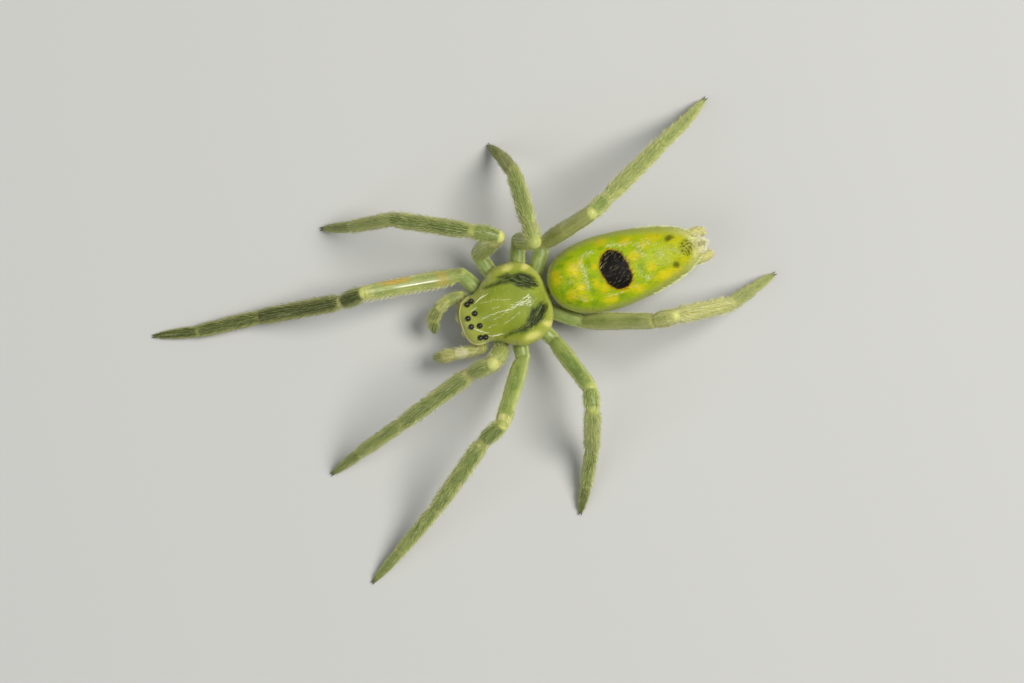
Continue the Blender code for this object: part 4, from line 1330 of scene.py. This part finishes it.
# The palps from root to tip: how creamy and how dusky each of their six parts is
PALP_CREAM = {LEFT: (0.1, 0.3, 0.9, 1.0, 1.0, 0.25), RIGHT: (0.0, 0.1, 0.2, 0.50, 0.1, 0.0)}
PALP_DUSK = {LEFT: (0.0, 0.0, 0.0, 0.0, 0.0, 0.3), RIGHT: (0.0, 0.0, 0.2, 0.2, 0.5, 0.5)}
PALP_PATELLA = 3
PALP_RADII = (
    (0.14, 0.15), (0.135, 0.145, 0.15), (0.145, 0.155, 0.145),
    (0.130, 0.160, 0.150), (0.130, 0.165, 0.168), (0.130, 0.160, 0.135, 0.070),
)


def palp_accents(side):
    def accents_of(part, share, limb):
        cream, dusk = (np.array(table[side])[part] for table in (PALP_CREAM, PALP_DUSK))
        on_stripe = (part == PALP_PATELLA) & (np.abs(limb[:, 1]) < 0.3) & (limb[:, 0] > 0.0)
        # The left palp's patella is painted partly white: a painted highlight.
        painted_highlight = 0.35 * (part == PALP_PATELLA) * (side == LEFT)
        return np.stack([cream, dusk, 0.35 * on_stripe * (side == LEFT)], axis=1), painted_highlight

    return accents_of


def make_palps(finish, hair):
    for side in (LEFT, RIGHT):
        name = f"palp_{SIDE_NAMES[side]}"
        accents_of = palp_accents(side)
        points = [Vector(spot) * Vector((side, 1, 1)) for spot in (PALP_ROOT, PALP_TROCHANTER, PALP_BOW)]
        tops = [Vector((0, 0, 1))] * 2
        for length, (heading, slope) in zip(PALP_LENGTHS, PALP_POSES[side]):
            points.append(points[-1] + direction(side, heading, slope) * length)
            tops.append(direction(side, heading, slope + 90))
        shape = bmesh.new()
        for start, end, sizes in zip(points, points[1:], PALP_RADII):
            segment(shape, start, end, sizes)
        mesh = fused(shape, BODY_VOXEL, 2)
        tree = surface_of(mesh)
        set_attributes(mesh, limb_fields(coordinates(mesh), points, tops, accents_of))
        place(mesh, f"{name}_skin", finish, "palp", [f"{name}_base", f"{name}_end"])
        whole = sum((end - start).length for start, end in zip(points, points[1:]))
        roots = limb_roots(tree, points, tops, [PALP_HAIR] * len(tops), whole)
        coat(f"{name}_hair", "palp", hair, roots, limb_fields(roots.places, points, tops, accents_of))


def make_chelicerae(finish, hair, horn):
    for side in (LEFT, RIGHT):
        name = f"chelicera_{SIDE_NAMES[side]}"
        line = [Vector((side * CHELICERA_X, y, z)) for y, z in CHELICERA_LINE]
        shape = bmesh.new()
        segment(shape, line[0], line[1], (0.19, 0.20, 0.195))
        segment(shape, line[1], line[2], (0.195, 0.185, 0.135))
        mesh = fused(shape, BODY_VOXEL, 3)
        tree = surface_of(mesh)
        set_attributes(mesh, plain_fields(coordinates(mesh), 0.25))
        place(mesh, f"{name}_skin", finish, "palp", [name])
        tops = [Vector((0, -1, 0))] * 2
        whole = sum((end - start).length for start, end in zip(line, line[1:]))
        roots = limb_roots(tree, line, tops, [(9, 0.06, 0.13, 30)] * 2, whole)
        coat(f"{name}_hair", "palp", hair, roots, plain_fields(np.array(roots.places), 0.25))
        fang = Roots()
        root = line[2] + Vector((side * 0.03, 0.02, -0.10))
        fang.add(root, Vector((0, 0.25, -1)).normalized(), Vector((-side, 0.25, 0)), (0.5, 0.5), 0.24, 0.075, 24, 0.5)
        coat(f"{name}_fang", "palp", horn, fang, {}, sides=10, rings=CLAW_RINGS, bend=1.6)


def make_spinneret_hair():
    finish = Finish("cream_hair", Roughness=0.45, Specular_IOR_Level=0.3)
    colour = finish.blend((0.52, 0.48, 0.18), (0.84, 0.79, 0.50), finish.attribute("tone"))
    finish.set("Base Color", colour)
    for name in SPINNERETS:
        root, elbow, tip = spinneret_line(name)
        shape = bmesh.new()
        add_spinneret(shape, name)
        tree = BVHTree.FromBMesh(shape)
        shape.free()
        tops = [Vector((0, 0, 1))] * 2
        whole = (elbow - root).length + (tip - elbow).length
        plans = [SPINNERET_HAIR, (15, 0.028, 0.16, 22)]
        roots = limb_roots(tree, [root, elbow, tip], tops, plans, whole)
        coat(f"{name}_hair", "spinneret", finish, roots, {})


def make_tubercle_hair():
    """Long white hairs, mostly at the edges of the cone."""
    shape = tubercle_cone()
    tree = BVHTree.FromBMesh(shape)
    shape.free()
    finish = Finish("white_hair", Roughness=0.45, Specular_IOR_Level=0.3)
    colour = finish.blend((0.62, 0.60, 0.26), (0.95, 0.93, 0.70), finish.attribute("tone"))
    finish.set("Base Color", colour)
    roots = Roots()
    for share, angle, size, tone, sway in random.random((760, 5)):
        y = mix(ABDOMEN_END - 0.02, TUBERCLE_TIP - 0.02, share)
        centre_x, centre_z, half_width, _, _ = tubercle_section(y)
        angle *= 2 * math.pi
        outwards = Vector((math.cos(angle), 0, math.sin(angle)))
        hit, normal, _, _ = tree.ray_cast(Vector((centre_x, y, centre_z)) + outwards, -outwards)
        beside = abs(math.cos(angle)) ** 2
        if hit is None or tone > 0.35 + 0.65 * beside:
            continue
        lie = Vector((0.35 * (centre_x - hit.x) / max(half_width, 0.05) + 0.5 * (sway - 0.5), 1.0, 0.0))
        unwrap = (angle / (2 * math.pi), (y - ABDOMEN_END) / (TUBERCLE_TIP - ABDOMEN_END))
        bright = 0.4 * size + 0.6 * beside
        roots.add(hit, normal, lie, unwrap, 0.09 + 0.09 * size, 0.014, 14 + 14 * beside, bright)
    coat("anal_tubercle_hair", "spinneret", finish, roots, {})


def make_eyes(surface):
    finish = Finish(
        "glossy_black",
        Base_Color=(0.004, 0.004, 0.004, 1.0),
        Roughness=0.06,
        IOR=1.50,
        Specular_IOR_Level=0.4,
        Coat_Weight=0.4,
        Coat_Roughness=0.01,
    )
    glass = finish.noise(finish.place(), 14.0, 2.0, 0.5)
    finish.set("Base Color", finish.blend((0.003, 0.003, 0.003), (0.012, 0.008, 0.005), glass.step(0.4, 0.7)))
    for side in (LEFT, RIGHT):
        for pair, (sideways, lengthwise, radius) in EYES.items():
            ground, normal = from_above(surface, side * sideways, lengthwise)
            shape = bmesh.new()
            bmesh.ops.create_uvsphere(shape, u_segments=32, v_segments=20, radius=radius)
            bmesh.ops.translate(shape, verts=shape.verts, vec=ground + normal * radius * EYE_LIFT)
            name = f"eye_{SIDE_NAMES[side]}_{pair}"
            place(mesh_from(shape), f"{name}_lens", finish, "eye", [name])


def make_stage():
    shape = bmesh.new()
    bmesh.ops.create_grid(shape, x_segments=1, y_segments=1, size=0.8)
    mesh = mesh_from(shape)
    finish = Finish("pale_floor", Roughness=0.85, Base_Color=(0.49, 0.49, 0.475, 1.0))
    mesh.materials.append(finish.material)
    floor = bpy.data.objects.new("floor", mesh)
    bpy.context.scene.collection.objects.link(floor)


VIEW_TURN = 67.97
VIEW_CENTRE = Vector((0.99, 0.81, 1.5))
VIEW_DISTANCE = 169.8
LENS = 200
SENSOR = 36


def image_direction(right, down, up):
    """A direction in the row frame from its parts to the right, down and towards the camera in the picture."""
    turn = math.radians(VIEW_TURN)
    across = Vector((math.cos(turn), math.sin(turn), 0))
    below = Vector((math.sin(turn), -math.cos(turn), 0))
    return (across * right + below * down + Vector((0, 0, up))).normalized()


def make_camera():
    data = bpy.data.cameras.new("camera")
    data.lens = LENS
    data.sensor_width = SENSOR
    data.clip_start = 0.002
    data.clip_end = 10.0
    camera = bpy.data.objects.new("camera", data)
    camera.location = TO_ROW @ (VIEW_CENTRE + Vector((0, 0, VIEW_DISTANCE)))
    camera.rotation_euler = (0, 0, math.radians(VIEW_TURN))
    bpy.context.scene.collection.objects.link(camera)
    bpy.context.scene.camera = camera


def make_light(name, towards, distance, size, power, colour):
    data = bpy.data.lights.new(name, "AREA")
    data.shape = "DISK"
    data.size = size
    data.energy = power
    data.color = colour
    lamp = bpy.data.objects.new(name, data)
    target = TO_ROW @ VIEW_CENTRE
    lamp.location = target + towards * distance
    lamp.rotation_euler = (target - lamp.location).to_track_quat("-Z", "Y").to_euler()
    bpy.context.scene.collection.objects.link(lamp)


def make_lights():
    make_light("key", image_direction(0.60, -0.20, 1.0), 0.22, 0.12, 0.56, (1.0, 0.985, 0.94))
    make_light("fill", image_direction(-0.9, 0.5, 1.0), 0.25, 0.22, 0.17, (0.97, 0.99, 1.0))
    world = bpy.data.worlds.new("studio")
    world.use_nodes = True
    background = world.node_tree.nodes["Background"]
    background.inputs["Color"].default_value = (0.93, 0.95, 1.0, 1.0)
    background.inputs["Strength"].default_value = 0.23
    bpy.context.scene.world = world
    bpy.context.scene.view_settings.view_transform = "Standard"


def main():
    make_stage()
    make_camera()
    make_lights()
    carapace = make_carapace()
    make_eyes(carapace)
    make_carapace_hair(carapace)
    make_abdomen_hair(make_abdomen())
    flesh, hair, horn = leg_finish(), leg_hair_finish(), claw_finish()
    make_underside(flesh, hair)
    for side, pair in LEG_POSES:
        make_leg(side, pair, flesh, hair, horn)
    make_palps(flesh, hair)
    make_chelicerae(flesh, hair, horn)
    make_spinneret_hair()
    make_tubercle_hair()


main()
